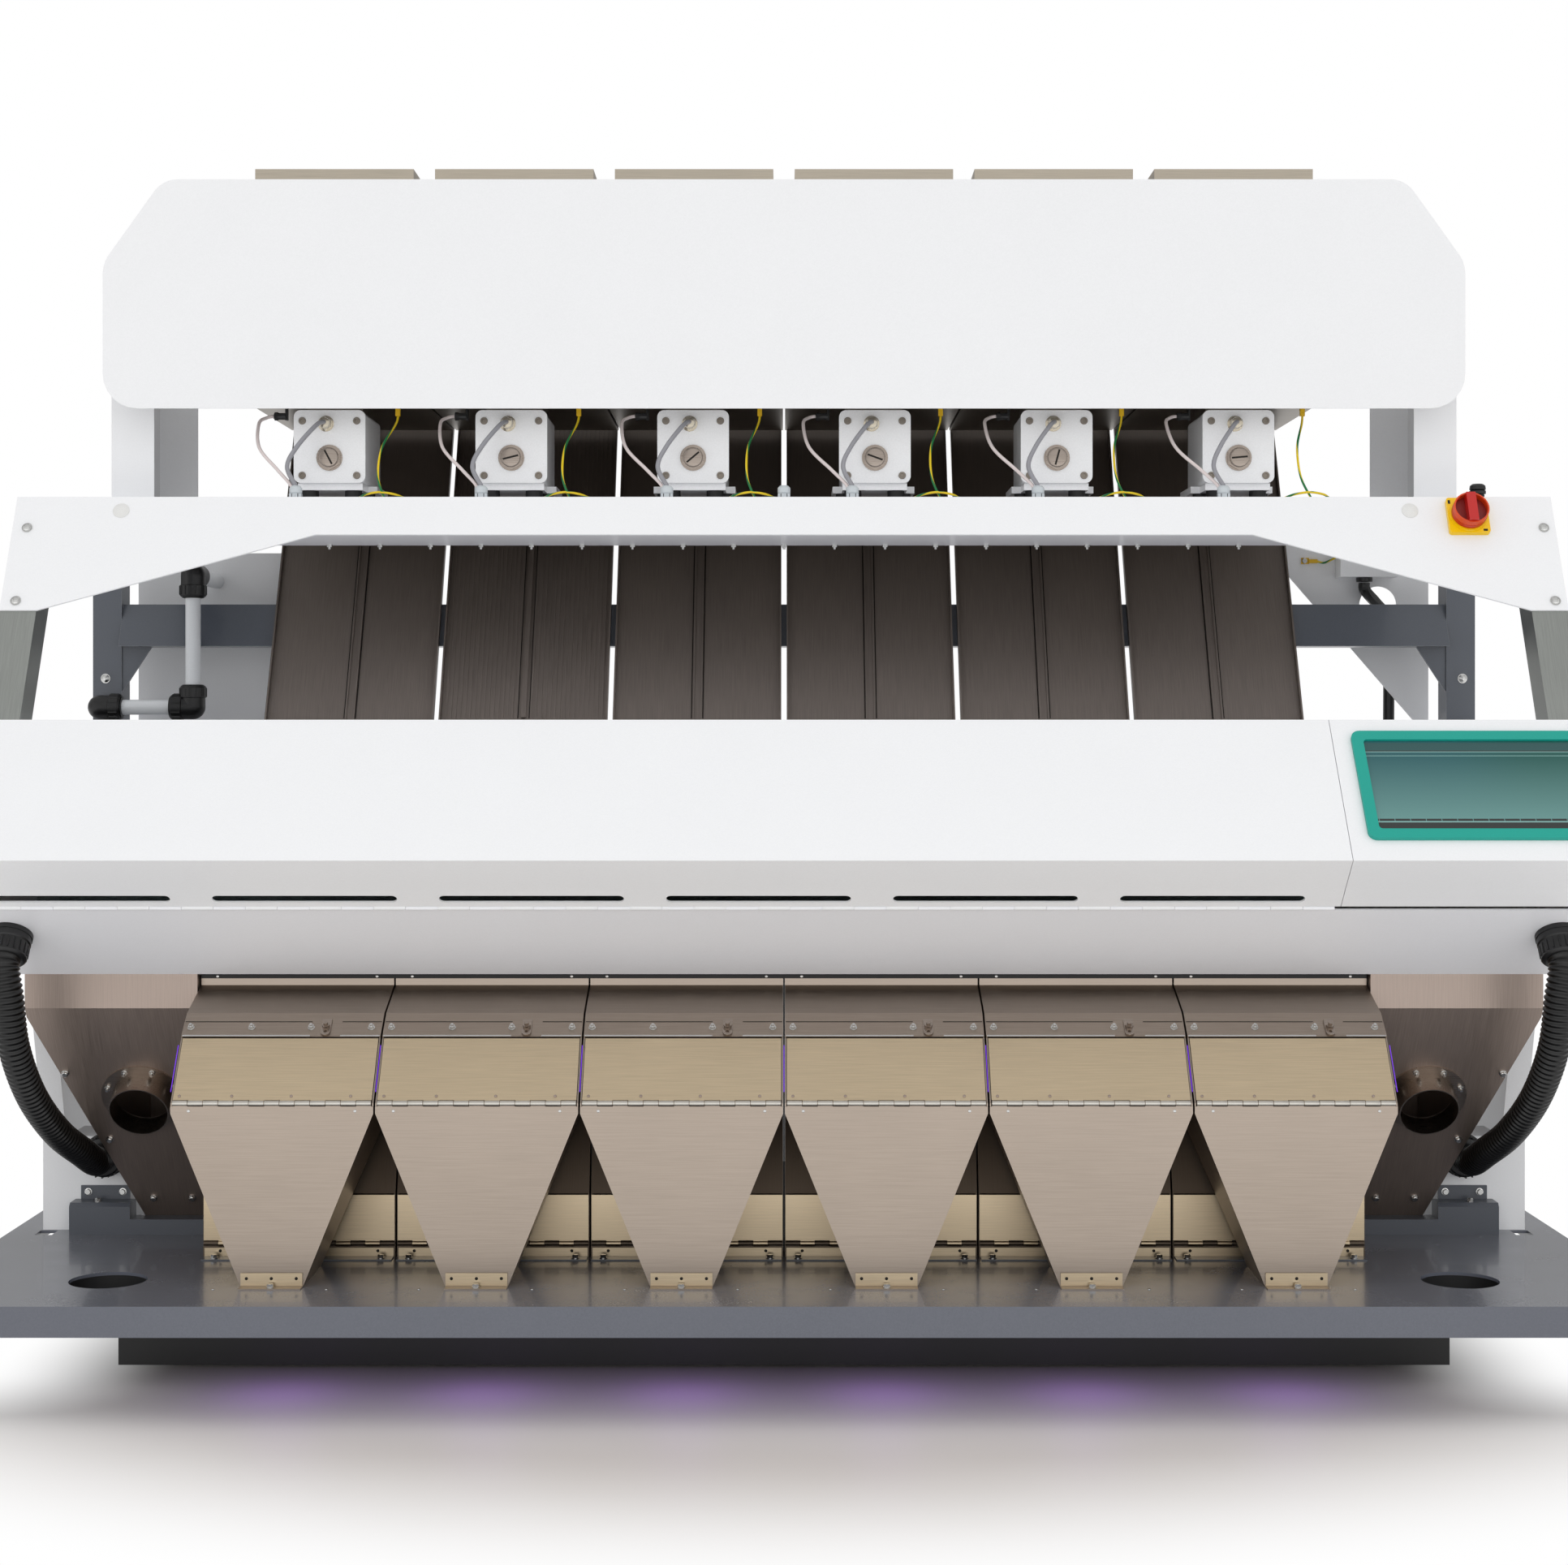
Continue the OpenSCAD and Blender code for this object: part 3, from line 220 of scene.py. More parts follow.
def swept(path: np.ndarray, radius: np.ndarray, sides: int) -> Surface:
    """Carries a circle along a path.

    Each point of the path is the middle of a ring square to the path there; the ring starts from the
    direction square to both the path and the row frame's X.

    Args:
        path: Points of the path.
        radius: Radius at each point.
        sides: Number of points in a ring.

    Returns:
        The closed tube.
    """
    along = np.gradient(path, axis=0)
    along /= np.linalg.norm(along, axis=1, keepdims=True)
    across = np.cross(along, np.array([1.0, 0.0, 0.0]))
    across /= np.linalg.norm(across, axis=1, keepdims=True)
    other = np.cross(along, across)
    angle = np.arange(sides) * 2 * np.pi / sides
    ring = np.cos(angle)[None, :, None] * across[:, None] + np.sin(angle)[None, :, None] * other[:, None]
    points = (path[:, None] + np.asarray(radius)[:, None, None] * ring).reshape(-1, 3)
    last = (len(path) - 1) * sides + np.arange(sides)
    return Surface(points, grid_quads(len(path), sides, True), [np.arange(sides)[::-1], last])


def plated(outline: np.ndarray, thickness: float) -> Surface:
    """Gives a flat outline a thickness along Z.

    Args:
        outline: Points of the outline in X and Y, turning to the left.
        thickness: The thickness.

    Returns:
        The closed plate, standing on Z = 0.
    """
    flat = np.column_stack([outline, np.zeros(len(outline))])
    count = len(flat)
    points = np.concatenate([flat, flat + [0.0, 0.0, thickness]])
    return Surface(points, grid_quads(2, count, True), [np.arange(count)[::-1], np.arange(count) + count])


def curve_through(points: list[list[float]], steps: int) -> np.ndarray:
    """Smooth curve through points: each stretch is the cubic set by its two ends and their neighbours.

    Args:
        points: Points of the curve.
        steps: Number of steps in a stretch.

    Returns:
        Points along the curve, evenly spaced in each stretch.
    """
    p = np.asarray(points, float)
    p = np.concatenate([p[:1], p, p[-1:]])
    a, b, c, d = (p[k : len(p) - 3 + k, None] for k in range(4))
    u = (np.arange(steps) / steps)[None, :, None]
    inner = 0.5 * (2 * b + (c - a) * u + (2 * a - 5 * b + 4 * c - d) * u**2 + (3 * b - a - 3 * c + d) * u**3)
    return np.concatenate([inner.reshape(-1, 3), p[-1:]])


def spaced(path: np.ndarray, count: int) -> np.ndarray:
    """Moves the points of a path to equal distances.

    Args:
        path: The path.
        count: Number of points wanted.

    Returns:
        The path with its points evenly spaced.
    """
    far = np.concatenate([[0.0], np.cumsum(np.linalg.norm(np.diff(path, axis=0), axis=1))])
    at = np.linspace(0, far[-1], count)
    return np.column_stack([np.interp(at, far, path[:, k]) for k in range(3)])


def length_of(path: np.ndarray) -> float:
    """Length of a path.

    Args:
        path: The path.

    Returns:
        The length in metres.
    """
    return float(np.linalg.norm(np.diff(path, axis=0), axis=1).sum())


class Grain(Enum):
    """Fine texture of a surface: stretch of its noise along X, Y and Z, and its scale per metre."""

    PAINT = (1.0, 1.0, 1.0, 420.0)
    BRUSHED_ACROSS = (0.015, 1.0, 1.0, 900.0)
    BRUSHED_UP = (1.0, 0.03, 0.015, 900.0)
    MOULDED = (1.0, 1.0, 1.0, 1300.0)
    SMOOTH = (1.0, 1.0, 1.0, 40.0)


def node(
    tree: bpy.types.NodeTree, kind: str, settings: dict | None = None, **inputs: object
) -> bpy.types.Node:
    """Adds a node to a tree and fills its inputs.

    Args:
        tree: The tree.
        kind: Type of the node.
        settings: Options of the node itself.
        inputs: Values or sockets for its inputs; an underscore in a name stands for a space.

    Returns:
        The new node.
    """
    made = tree.nodes.new(kind)
    for key, value in (settings or {}).items():
        setattr(made, key, value)
    for key, value in inputs.items():
        place = int(key[1:]) if key[0] == "i" and key[1:].isdigit() else key.replace("_", " ")
        if isinstance(value, bpy.types.NodeSocket):
            tree.links.new(value, made.inputs[place])
        else:
            made.inputs[place].default_value = value
    return made


def maths(tree: bpy.types.NodeTree, operation: str, *values: object) -> bpy.types.NodeSocket:
    """Adds a sum, product or the like.

    Args:
        tree: The tree.
        operation: What is worked out.
        values: Its values or sockets, in order.

    Returns:
        The result's socket.
    """
    inputs = {f"i{k}": value for k, value in enumerate(values)}
    return node(tree, "ShaderNodeMath", {"operation": operation}, **inputs).outputs[0]


def ramp(tree: bpy.types.NodeTree, value: object, low: float, high: float) -> bpy.types.NodeSocket:
    """Adds a soft step from 0 at the lower value to 1 at the higher.

    Args:
        tree: The tree.
        value: The socket that is stepped.
        low: Where the step starts.
        high: Where the step ends.

    Returns:
        The step's socket.
    """
    soft = {"interpolation_type": "SMOOTHSTEP"}
    return node(tree, "ShaderNodeMapRange", soft, Value=value, From_Min=low, From_Max=high).outputs[0]


def new_group(
    name: str, outputs: list[str], inputs: list[str]
) -> tuple[bpy.types.NodeTree, bpy.types.Node, bpy.types.Node]:
    """Starts a shader node group with value sockets.

    Args:
        name: Name of the group.
        outputs: Names of its outputs.
        inputs: Names of its inputs.

    Returns:
        The tree, its input node and its output node.
    """
    tree = bpy.data.node_groups.new(name, "ShaderNodeTree")
    for label in inputs:
        tree.interface.new_socket(label, in_out="INPUT", socket_type="NodeSocketFloat")
    for label in outputs:
        tree.interface.new_socket(label, in_out="OUTPUT", socket_type="NodeSocketFloat")
    return tree, tree.nodes.new("NodeGroupInput"), tree.nodes.new("NodeGroupOutput")


def grain_group(kind: Grain) -> bpy.types.NodeTree:
    """Shared texture: fine noise stretched along the brushing, and slow patches a hand wide.

    Args:
        kind: The kind of grain.

    Returns:
        The group, with the outputs Height and Patch.
    """
    name = "grain_" + kind.name.lower()
    if name in bpy.data.node_groups:
        return bpy.data.node_groups[name]
    x, y, z, scale = kind.value
    tree, _, out = new_group(name, ["Height", "Patch"], [])
    place = node(tree, "ShaderNodeTexCoord").outputs["Object"]
    stretched = node(tree, "ShaderNodeMapping", Vector=place, Scale=(x * scale, y * scale, z * scale))
    fine = node(tree, "ShaderNodeTexNoise", Vector=stretched.outputs[0], Scale=1.0, Detail=2.0)
    slow = node(tree, "ShaderNodeTexNoise", Vector=place, Scale=7.0, Detail=3.0)
    tree.links.new(fine.outputs["Fac"], out.inputs["Height"])
    tree.links.new(slow.outputs["Fac"], out.inputs["Patch"])
    return tree


def dust_group() -> bpy.types.NodeTree:
    """Shared dust: lies where a face looks up, in soft patches.

    Returns:
        The group, with the input Amount and the output Mask.
    """
    if "dust" in bpy.data.node_groups:
        return bpy.data.node_groups["dust"]
    tree, into, out = new_group("dust", ["Mask"], ["Amount"])
    normal = node(tree, "ShaderNodeNewGeometry").outputs["Normal"]
    up = node(tree, "ShaderNodeSeparateXYZ", Vector=normal).outputs["Z"]
    facing = node(tree, "ShaderNodeMapRange", Value=up, From_Min=0.35, From_Max=1.0)
    place = node(tree, "ShaderNodeTexCoord").outputs["Object"]
    noise = node(tree, "ShaderNodeTexNoise", Vector=place, Scale=14.0, Detail=5.0)
    some = maths(tree, "MULTIPLY", facing.outputs[0], noise.outputs["Fac"])
    tree.links.new(maths(tree, "MULTIPLY", some, into.outputs["Amount"]), out.inputs["Mask"])
    return tree


def wear_group() -> bpy.types.NodeTree:
    """Shared edge wear: where the rounded normal leaves the face's own normal, broken up by noise.

    Returns:
        The group, with the input Amount and the output Mask.
    """
    if "wear" in bpy.data.node_groups:
        return bpy.data.node_groups["wear"]
    tree, into, out = new_group("wear", ["Mask"], ["Amount"])
    soft = node(tree, "ShaderNodeBevel", {"samples": 4}, Radius=0.0012)
    hard = node(tree, "ShaderNodeNewGeometry").outputs["Normal"]
    same = node(tree, "ShaderNodeVectorMath", {"operation": "DOT_PRODUCT"}, i0=soft.outputs[0], i1=hard)
    edge = node(tree, "ShaderNodeMapRange", Value=same.outputs["Value"], From_Min=0.995, From_Max=0.9)
    place = node(tree, "ShaderNodeTexCoord").outputs["Object"]
    noise = node(tree, "ShaderNodeTexNoise", Vector=place, Scale=60.0, Detail=4.0)
    some = maths(tree, "MULTIPLY", edge.outputs[0], noise.outputs["Fac"])
    tree.links.new(maths(tree, "MULTIPLY", some, into.outputs["Amount"]), out.inputs["Mask"])
    return tree


def linear(colour: Rgb) -> tuple[float, float, float, float]:
    """Turns a display colour into the linear one that shaders use.

    Args:
        colour: Red, green and blue from 0 to 255.

    Returns:
        Linear red, green, blue and 1.
    """
    share = np.asarray(colour, float) / 255
    low, high = share / 12.92, ((share + 0.055) / 1.055) ** 2.4
    return (*(float(v) for v in np.where(share <= 0.04045, low, high)), 1.0)


def mixed(
    tree: bpy.types.NodeTree, share: object, first: object, second: object, blend: str = "MIX"
) -> bpy.types.NodeSocket:
    """Adds a colour mix.

    Args:
        tree: The tree.
        share: Share of the second colour.
        first: First colour.
        second: Second colour.
        blend: How the two are mixed.

    Returns:
        The mixed colour's socket.
    """
    kind = {"data_type": "RGBA", "blend_type": blend}
    return node(tree, "ShaderNodeMix", kind, i0=share, i6=first, i7=second).outputs[2]


WORN, DUST = linear((205, 205, 205)), linear((190, 186, 178))


@dataclass(frozen=True)
class Finish:
    """A surface finish, made into a procedural material on first use.

    Attributes:
        name: Name of the material.
        colour: Display colour, 0 to 255.
        roughness: Roughness of the surface.
        metallic: 1 for bare metal.
        grain: Fine texture.
        relief: Strength of the grain's bumps.
        streak: How far the grain changes the colour and the roughness.
        patch: How far slow patches change the colour.
        dust: Amount of dust on faces that look up.
        wear: Amount of wear on edges.
        coat: Weight of a clear coat.
        glow: Strength of light given off.
        clear: Share of light let through.
    """

    name: str
    colour: Rgb
    roughness: float = 0.35
    metallic: float = 0.0
    grain: Grain = Grain.PAINT
    relief: float = 0.02
    streak: float = 0.04
    patch: float = 0.05
    dust: float = 0.0
    wear: float = 0.0
    coat: float = 0.0
    glow: float = 0.0
    clear: float = 0.0

    def base(self, tree: bpy.types.NodeTree) -> object:
        """Colour before grain, patches, dust and wear.

        Args:
            tree: The material's tree; not used here.

        Returns:
            A colour or the socket of one.
        """
        return linear(self.colour)

    def material(self) -> bpy.types.Material:
        """Makes the material, or finds it.

        Returns:
            The material.
        """
        if self.name in bpy.data.materials:
            return bpy.data.materials[self.name]
        made = bpy.data.materials.new(self.name)
        made.use_nodes = True
        tree = made.node_tree
        shader = tree.nodes["Principled BSDF"]
        grain = node(tree, "ShaderNodeGroup", {"node_tree": grain_group(self.grain)})
        height, patch = grain.outputs["Height"], grain.outputs["Patch"]
        dim = 1 - 2 * self.patch
        darker = mixed(tree, 1.0, self.base(tree), (dim, dim, dim, 1.0), "MULTIPLY")
        colour = mixed(tree, patch, self.base(tree), darker)
        shade = node(tree, "ShaderNodeMapRange", Value=height, From_Min=GRAIN_LOW, From_Max=GRAIN_HIGH,
                     To_Min=1 - self.streak * 2, To_Max=1 + self.streak)
        colour = mixed(tree, 1.0, colour, shade.outputs[0], "MULTIPLY")
        if self.wear:
            wear = node(tree, "ShaderNodeGroup", {"node_tree": wear_group()}, Amount=self.wear)
            colour = mixed(tree, wear.outputs[0], colour, WORN)
        rough = node(tree, "ShaderNodeMapRange", Value=height, From_Min=GRAIN_LOW, From_Max=GRAIN_HIGH,
                     To_Min=max(0.02, self.roughness * (1 - 2 * self.streak)),
                     To_Max=self.roughness * (1 + 2 * self.streak)).outputs[0]
        if self.dust:
            dust = node(tree, "ShaderNodeGroup", {"node_tree": dust_group()}, Amount=self.dust)
            colour = mixed(tree, dust.outputs[0], colour, DUST)
            rough = maths(tree, "ADD", rough, dust.outputs[0])
        bump = node(tree, "ShaderNodeBump", Height=height, Strength=self.relief, Distance=GRAIN_DEPTH)
        tree.links.new(colour, shader.inputs["Base Color"])
        tree.links.new(rough, shader.inputs["Roughness"])
        tree.links.new(bump.outputs[0], shader.inputs["Normal"])
        shader.inputs["Metallic"].default_value = self.metallic
        shader.inputs["Coat Weight"].default_value = self.coat
        shader.inputs["Coat Roughness"].default_value = 0.06
        shader.inputs["Transmission Weight"].default_value = self.clear
        if self.glow:
            tree.links.new(colour, shader.inputs["Emission Color"])
            shader.inputs["Emission Strength"].default_value = self.glow
        return made


class ScreenLine(Enum):
    """Level lines on the screen: distance up its slope and half width in metres, and colour."""

    BAR = (0.5215, 0.0085, (38, 76, 76))
    BAR_EDGE = (0.5135, 0.0009, (42, 46, 45))
    UPPER = (0.5115, 0.0006, (128, 168, 164))
    SECOND = (0.5035, 0.0005, (128, 168, 164))
    FOOT = (0.364, 0.0068, (42, 46, 45))
    FOOT_EDGE = (0.3716, 0.0007, (128, 168, 164))


@dataclass(frozen=True)
class ScreenFinish(Finish):
    """Lit screen: colours that run into each other up the slope, with level lines and a row of keys.

    Attributes:
        upper: Colour at the top left.
        right: Colour at the top right.
    """

    upper: Rgb = (0.0, 0.0, 0.0)
    right: Rgb = (0.0, 0.0, 0.0)

    def base(self, tree: bpy.types.NodeTree) -> object:
        """Colour from the distance up the slope.

        Args:
            tree: The material's tree.

        Returns:
            The colour's socket.
        """
        place = node(tree, "ShaderNodeTexCoord").outputs["Object"]
        product = {"operation": "DOT_PRODUCT"}
        slope = node(tree, "ShaderNodeVectorMath", product, i0=place, i1=(0.0, 0.634, 0.7735))
        up = slope.outputs["Value"]
        side = node(tree, "ShaderNodeSeparateXYZ", Vector=place).outputs["X"]
        share = node(tree, "ShaderNodeMapRange", Value=up, From_Min=0.374, From_Max=0.5).outputs[0]
        above = mixed(tree, ramp(tree, side, 1.02, 1.22), linear(self.upper), linear(self.right))
        colour = mixed(tree, share, linear(self.colour), above)
        for middle, half, tint in (line.value for line in ScreenLine):
            colour = mixed(tree, maths(tree, "COMPARE", up, middle, half), colour, linear(tint))
        cell = maths(tree, "GREATER_THAN", maths(tree, "PINGPONG", side, 0.0122), 0.0006)
        keys = maths(tree, "MULTIPLY", maths(tree, "COMPARE", up, 0.3758, 0.0022), cell)
        return mixed(tree, keys, colour, linear(ScreenLine.FOOT.value[2]))


@dataclass(frozen=True)
class HeightFinish(Finish):
    """Colour that changes with the height.

    Attributes:
        under: Colour at and below the lower height.
        low: The lower height in metres.
        high: The upper height in metres.
    """

    under: Rgb = (0.0, 0.0, 0.0)
    low: float = 0.0
    high: float = 1.0

    def base(self, tree: bpy.types.NodeTree) -> object:
        """Colour by height, in an even change from the lower height to the upper.

        Args:
            tree: The material's tree.

        Returns:
            The colour's socket.
        """
        place = node(tree, "ShaderNodeTexCoord").outputs["Object"]
        height = node(tree, "ShaderNodeSeparateXYZ", Vector=place).outputs["Z"]
        share = node(tree, "ShaderNodeMapRange", Value=height, From_Min=self.low, From_Max=self.high)
        return mixed(tree, share.outputs[0], linear(self.under), linear(self.colour))


SCREEN = ScreenFinish("lit_screen", (92, 134, 131), 0.3, grain=Grain.SMOOTH, relief=0.0, streak=0.0,
                      patch=0.02, glow=0.2, upper=(34, 84, 88), right=(26, 80, 74))
WHITE = Finish("white_paint", (240, 241, 243), 0.45, relief=0.03, streak=0.01, patch=0.012, coat=0.1)
HOUSING = Finish("housing_paint", (244, 245, 249), 0.45, relief=0.03, streak=0.01, patch=0.015, coat=0.1)
DARK = Finish("dark_grey_paint", (98, 101, 111), 0.2, relief=0.05, streak=0.03, patch=0.04, dust=0.1,
              coat=0.2)
FRAME_GREY = Finish("frame_grey_paint", (86, 91, 100), 0.3, relief=0.05, streak=0.03, patch=0.05, wear=0.5,
                    coat=0.3)
# Grey base frame paint; below the base plate's top its colour turns almost black: painted shade under the
# plate.
BASE_GREY_WITH_PAINTED_SHADE = HeightFinish("base_frame_paint_and_painted_shade", (84, 88, 96), 0.34, relief=0.05, streak=0.03, patch=0.05,
                         under=(34, 33, 33), low=0.18, high=0.186)
STAINLESS = Finish("brushed_stainless", (168, 155, 143), 0.34, 1.0, Grain.BRUSHED_ACROSS, 0.05, 0.05, 0.05)
FLAP_STEEL = Finish("flap_stainless", (212, 193, 163), 0.34, 1.0, Grain.BRUSHED_ACROSS, 0.05, 0.05, 0.04)
DULL_STEEL = Finish("end_plate_stainless", (176, 160, 150), 0.42, 0.85, Grain.BRUSHED_UP, 0.06, 0.06, 0.06)
REAR_STEEL = Finish("rear_stainless", (112, 100, 88), 0.48, 1.0, Grain.BRUSHED_UP, 0.05, 0.06, 0.08)
HINGE_STEEL = Finish("hinge_stainless", (208, 204, 196), 0.3, 1.0, Grain.BRUSHED_ACROSS, 0.03, 0.03, 0.04)
SPIGOT_STEEL = Finish("spigot_stainless", (172, 160, 150), 0.3, 1.0, Grain.BRUSHED_ACROSS, 0.05, 0.06, 0.05)
INLET_STEEL = Finish("inlet_stainless", (198, 188, 172), 0.4, 1.0, Grain.BRUSHED_ACROSS, 0.05, 0.06, 0.06)
TRAY_STEEL = Finish("tray_stainless", (150, 142, 132), 0.38, 1.0, Grain.BRUSHED_ACROSS, 0.05, 0.06, 0.06)
POST_STEEL = Finish("brushed_post", (168, 171, 167), 0.36, 1.0, Grain.BRUSHED_UP, 0.06, 0.06, 0.05)
CHUTE = HeightFinish("chute_anodised", (82, 73, 66), 0.42, 0.4, Grain.BRUSHED_UP, 0.05, 0.07, 0.05,
                     under=(136, 126, 119), low=1.08, high=1.5)
BRIGHT = Finish("bright_zinc", (214, 214, 212), 0.22, 1.0, Grain.SMOOTH, 0.03, 0.03, 0.05, wear=0.3)
NICKEL = Finish("nickel_plate", (205, 196, 178), 0.18, 1.0, Grain.SMOOTH, 0.03, 0.03, 0.05)
SOCKET = Finish("blackened_steel", (52, 50, 48), 0.35, 1.0, Grain.SMOOTH, 0.03, 0.04, 0.06)
# White drive paint, made brighter than the other white paint as painted light: it stands in for light that
# the header's overhang keeps off.
CAST = Finish("drive_paint_with_painted_light", (252, 253, 255), 0.3, relief=0.12, streak=0.02, patch=0.02, coat=0.2)
GREY_PLASTIC = Finish("grey_plastic", (205, 212, 216), 0.38, grain=Grain.MOULDED, relief=0.06)
WHITE_PLASTIC = Finish("white_plastic", (232, 232, 230), 0.4, grain=Grain.MOULDED, relief=0.05)
BLACK_PLASTIC = Finish("black_plastic", (24, 24, 25), 0.36, grain=Grain.MOULDED, relief=0.1, streak=0.05)
BLACK_RUBBER = Finish("black_rubber", (20, 20, 21), 0.55, grain=Grain.MOULDED, relief=0.15, dust=0.15)
HOSE = Finish("hose_black", (9, 9, 9), 0.34, grain=Grain.SMOOTH, relief=0.02)
BLUE_RING = Finish("blue_seal", (24, 52, 150), 0.35, grain=Grain.MOULDED)
PIPE = Finish("air_pipe", (228, 231, 234), 0.3, grain=Grain.MOULDED, relief=0.03)
TEAL = Finish("teal_bezel", (0, 164, 148), 0.5, grain=Grain.MOULDED, relief=0.05, streak=0.02)
YELLOW = Finish("switch_yellow", (252, 206, 0), 0.28, grain=Grain.MOULDED, relief=0.03, streak=0.02)
RED = Finish("switch_red", (196, 20, 14), 0.3, grain=Grain.MOULDED, relief=0.02, streak=0.02, coat=0.3)
# Darker red of the knob's dish: partly its own colour, partly painted shade in the cup.
DISH = Finish("switch_dish", (136, 18, 12), 0.45, grain=Grain.MOULDED, relief=0.02, streak=0.02)
ORANGE = Finish("switch_orange", (222, 70, 16), 0.45, grain=Grain.MOULDED, relief=0.02, streak=0.02)
CRIMP = Finish("yellow_crimp", (232, 186, 16), 0.35, grain=Grain.MOULDED, relief=0.04)
INK = Finish("black_ink", (18, 18, 18), 0.5, grain=Grain.MOULDED)
GLASS = Finish("window_glass", (225, 238, 240), 0.05, grain=Grain.SMOOTH, relief=0.0, clear=0.9)
LAMP = Finish("lamp_diffuser", (250, 250, 244), 0.4, grain=Grain.SMOOTH)
# Glow painted on strips as the violet light seen in the gaps between the hoppers; the strips are no lamps.
VIOLET = Finish("violet_light", (112, 52, 214), 0.5, grain=Grain.SMOOTH, glow=0.45)
LEAD_GREY = Finish("grey_lead", (150, 150, 156), 0.4, grain=Grain.MOULDED)
LEAD_PALE = Finish("pale_lead", (228, 216, 214), 0.42, grain=Grain.MOULDED)

NODE_FINISH: dict[str, Finish] = {
    "base_plate": DARK, "base_frame": BASE_GREY_WITH_PAINTED_SHADE, "levelling_feet": BRIGHT, "front_hoppers": STAINLESS,
    "rear_hoppers": REAR_STEEL, "end_plates": DULL_STEEL, "aspiration_spigots": SPIGOT_STEEL,
    "side_frames": WHITE, "hose_left": HOSE, "hose_right": HOSE, "hose_connectors": BLACK_PLASTIC,
    "front_cover": WHITE, "screen_panel": WHITE, "screen_bezel": TEAL, "touch_screen": SCREEN,
    "optical_housing": HOUSING, "viewing_windows": GLASS, "light_bars": LAMP, "camera_units": BLACK_PLASTIC,
    "ejector_bars": POST_STEEL, "front_beam": WHITE, "beam_posts": POST_STEEL, "switch_plate": YELLOW,
    "switch_knob": RED, "feeder_shelf": HOUSING, "feeder_drives": CAST, "drive_mounts": BLACK_RUBBER,
    "inlet_hoppers": INLET_STEEL, "header_panels": WHITE, "header_columns": WHITE, "chutes": CHUTE,
    "rear_frame": FRAME_GREY, "side_panels": WHITE, "air_pipes": PIPE, "line_fittings": BLACK_PLASTIC,
    "feeder_leads": LEAD_GREY,
}
LANE_FINISH: dict[str, Finish] = {
    "front_flap": FLAP_STEEL, "rear_flap": FLAP_STEEL, "latch": SPIGOT_STEEL, "tray": TRAY_STEEL,
}


def put(
    name: str, surface: Surface, finish: Finish, body: str = "machine", sharp: float = 38.0
) -> bpy.types.Object:
    """Makes a piece from a surface and fixes it to a body.

    Args:
        name: Name of the piece.
        surface: Its points and faces, in the row frame.
        finish: Its finish.
        body: The body that it rides on.
        sharp: Angle in degrees above which an edge stays sharp.

    Returns:
        The new object.
    """
    mesh = bpy.data.meshes.new(name)
    faces = surface.quads.tolist() + [cap.tolist() for cap in surface.caps]
    mesh.from_pydata(surface.points.tolist(), [], faces)
    mesh.polygons.foreach_set("use_smooth", np.ones(len(mesh.polygons), bool))
    mesh.set_sharp_from_angle(angle=math.radians(sharp))
    made = bpy.data.objects.new(name, mesh)
    bpy.context.scene.collection.objects.link(made)
    mesh.materials.append(finish.material())
    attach(made, body)
    LOG.info("%s: %d faces on %s", name, len(mesh.polygons), body)
    return made


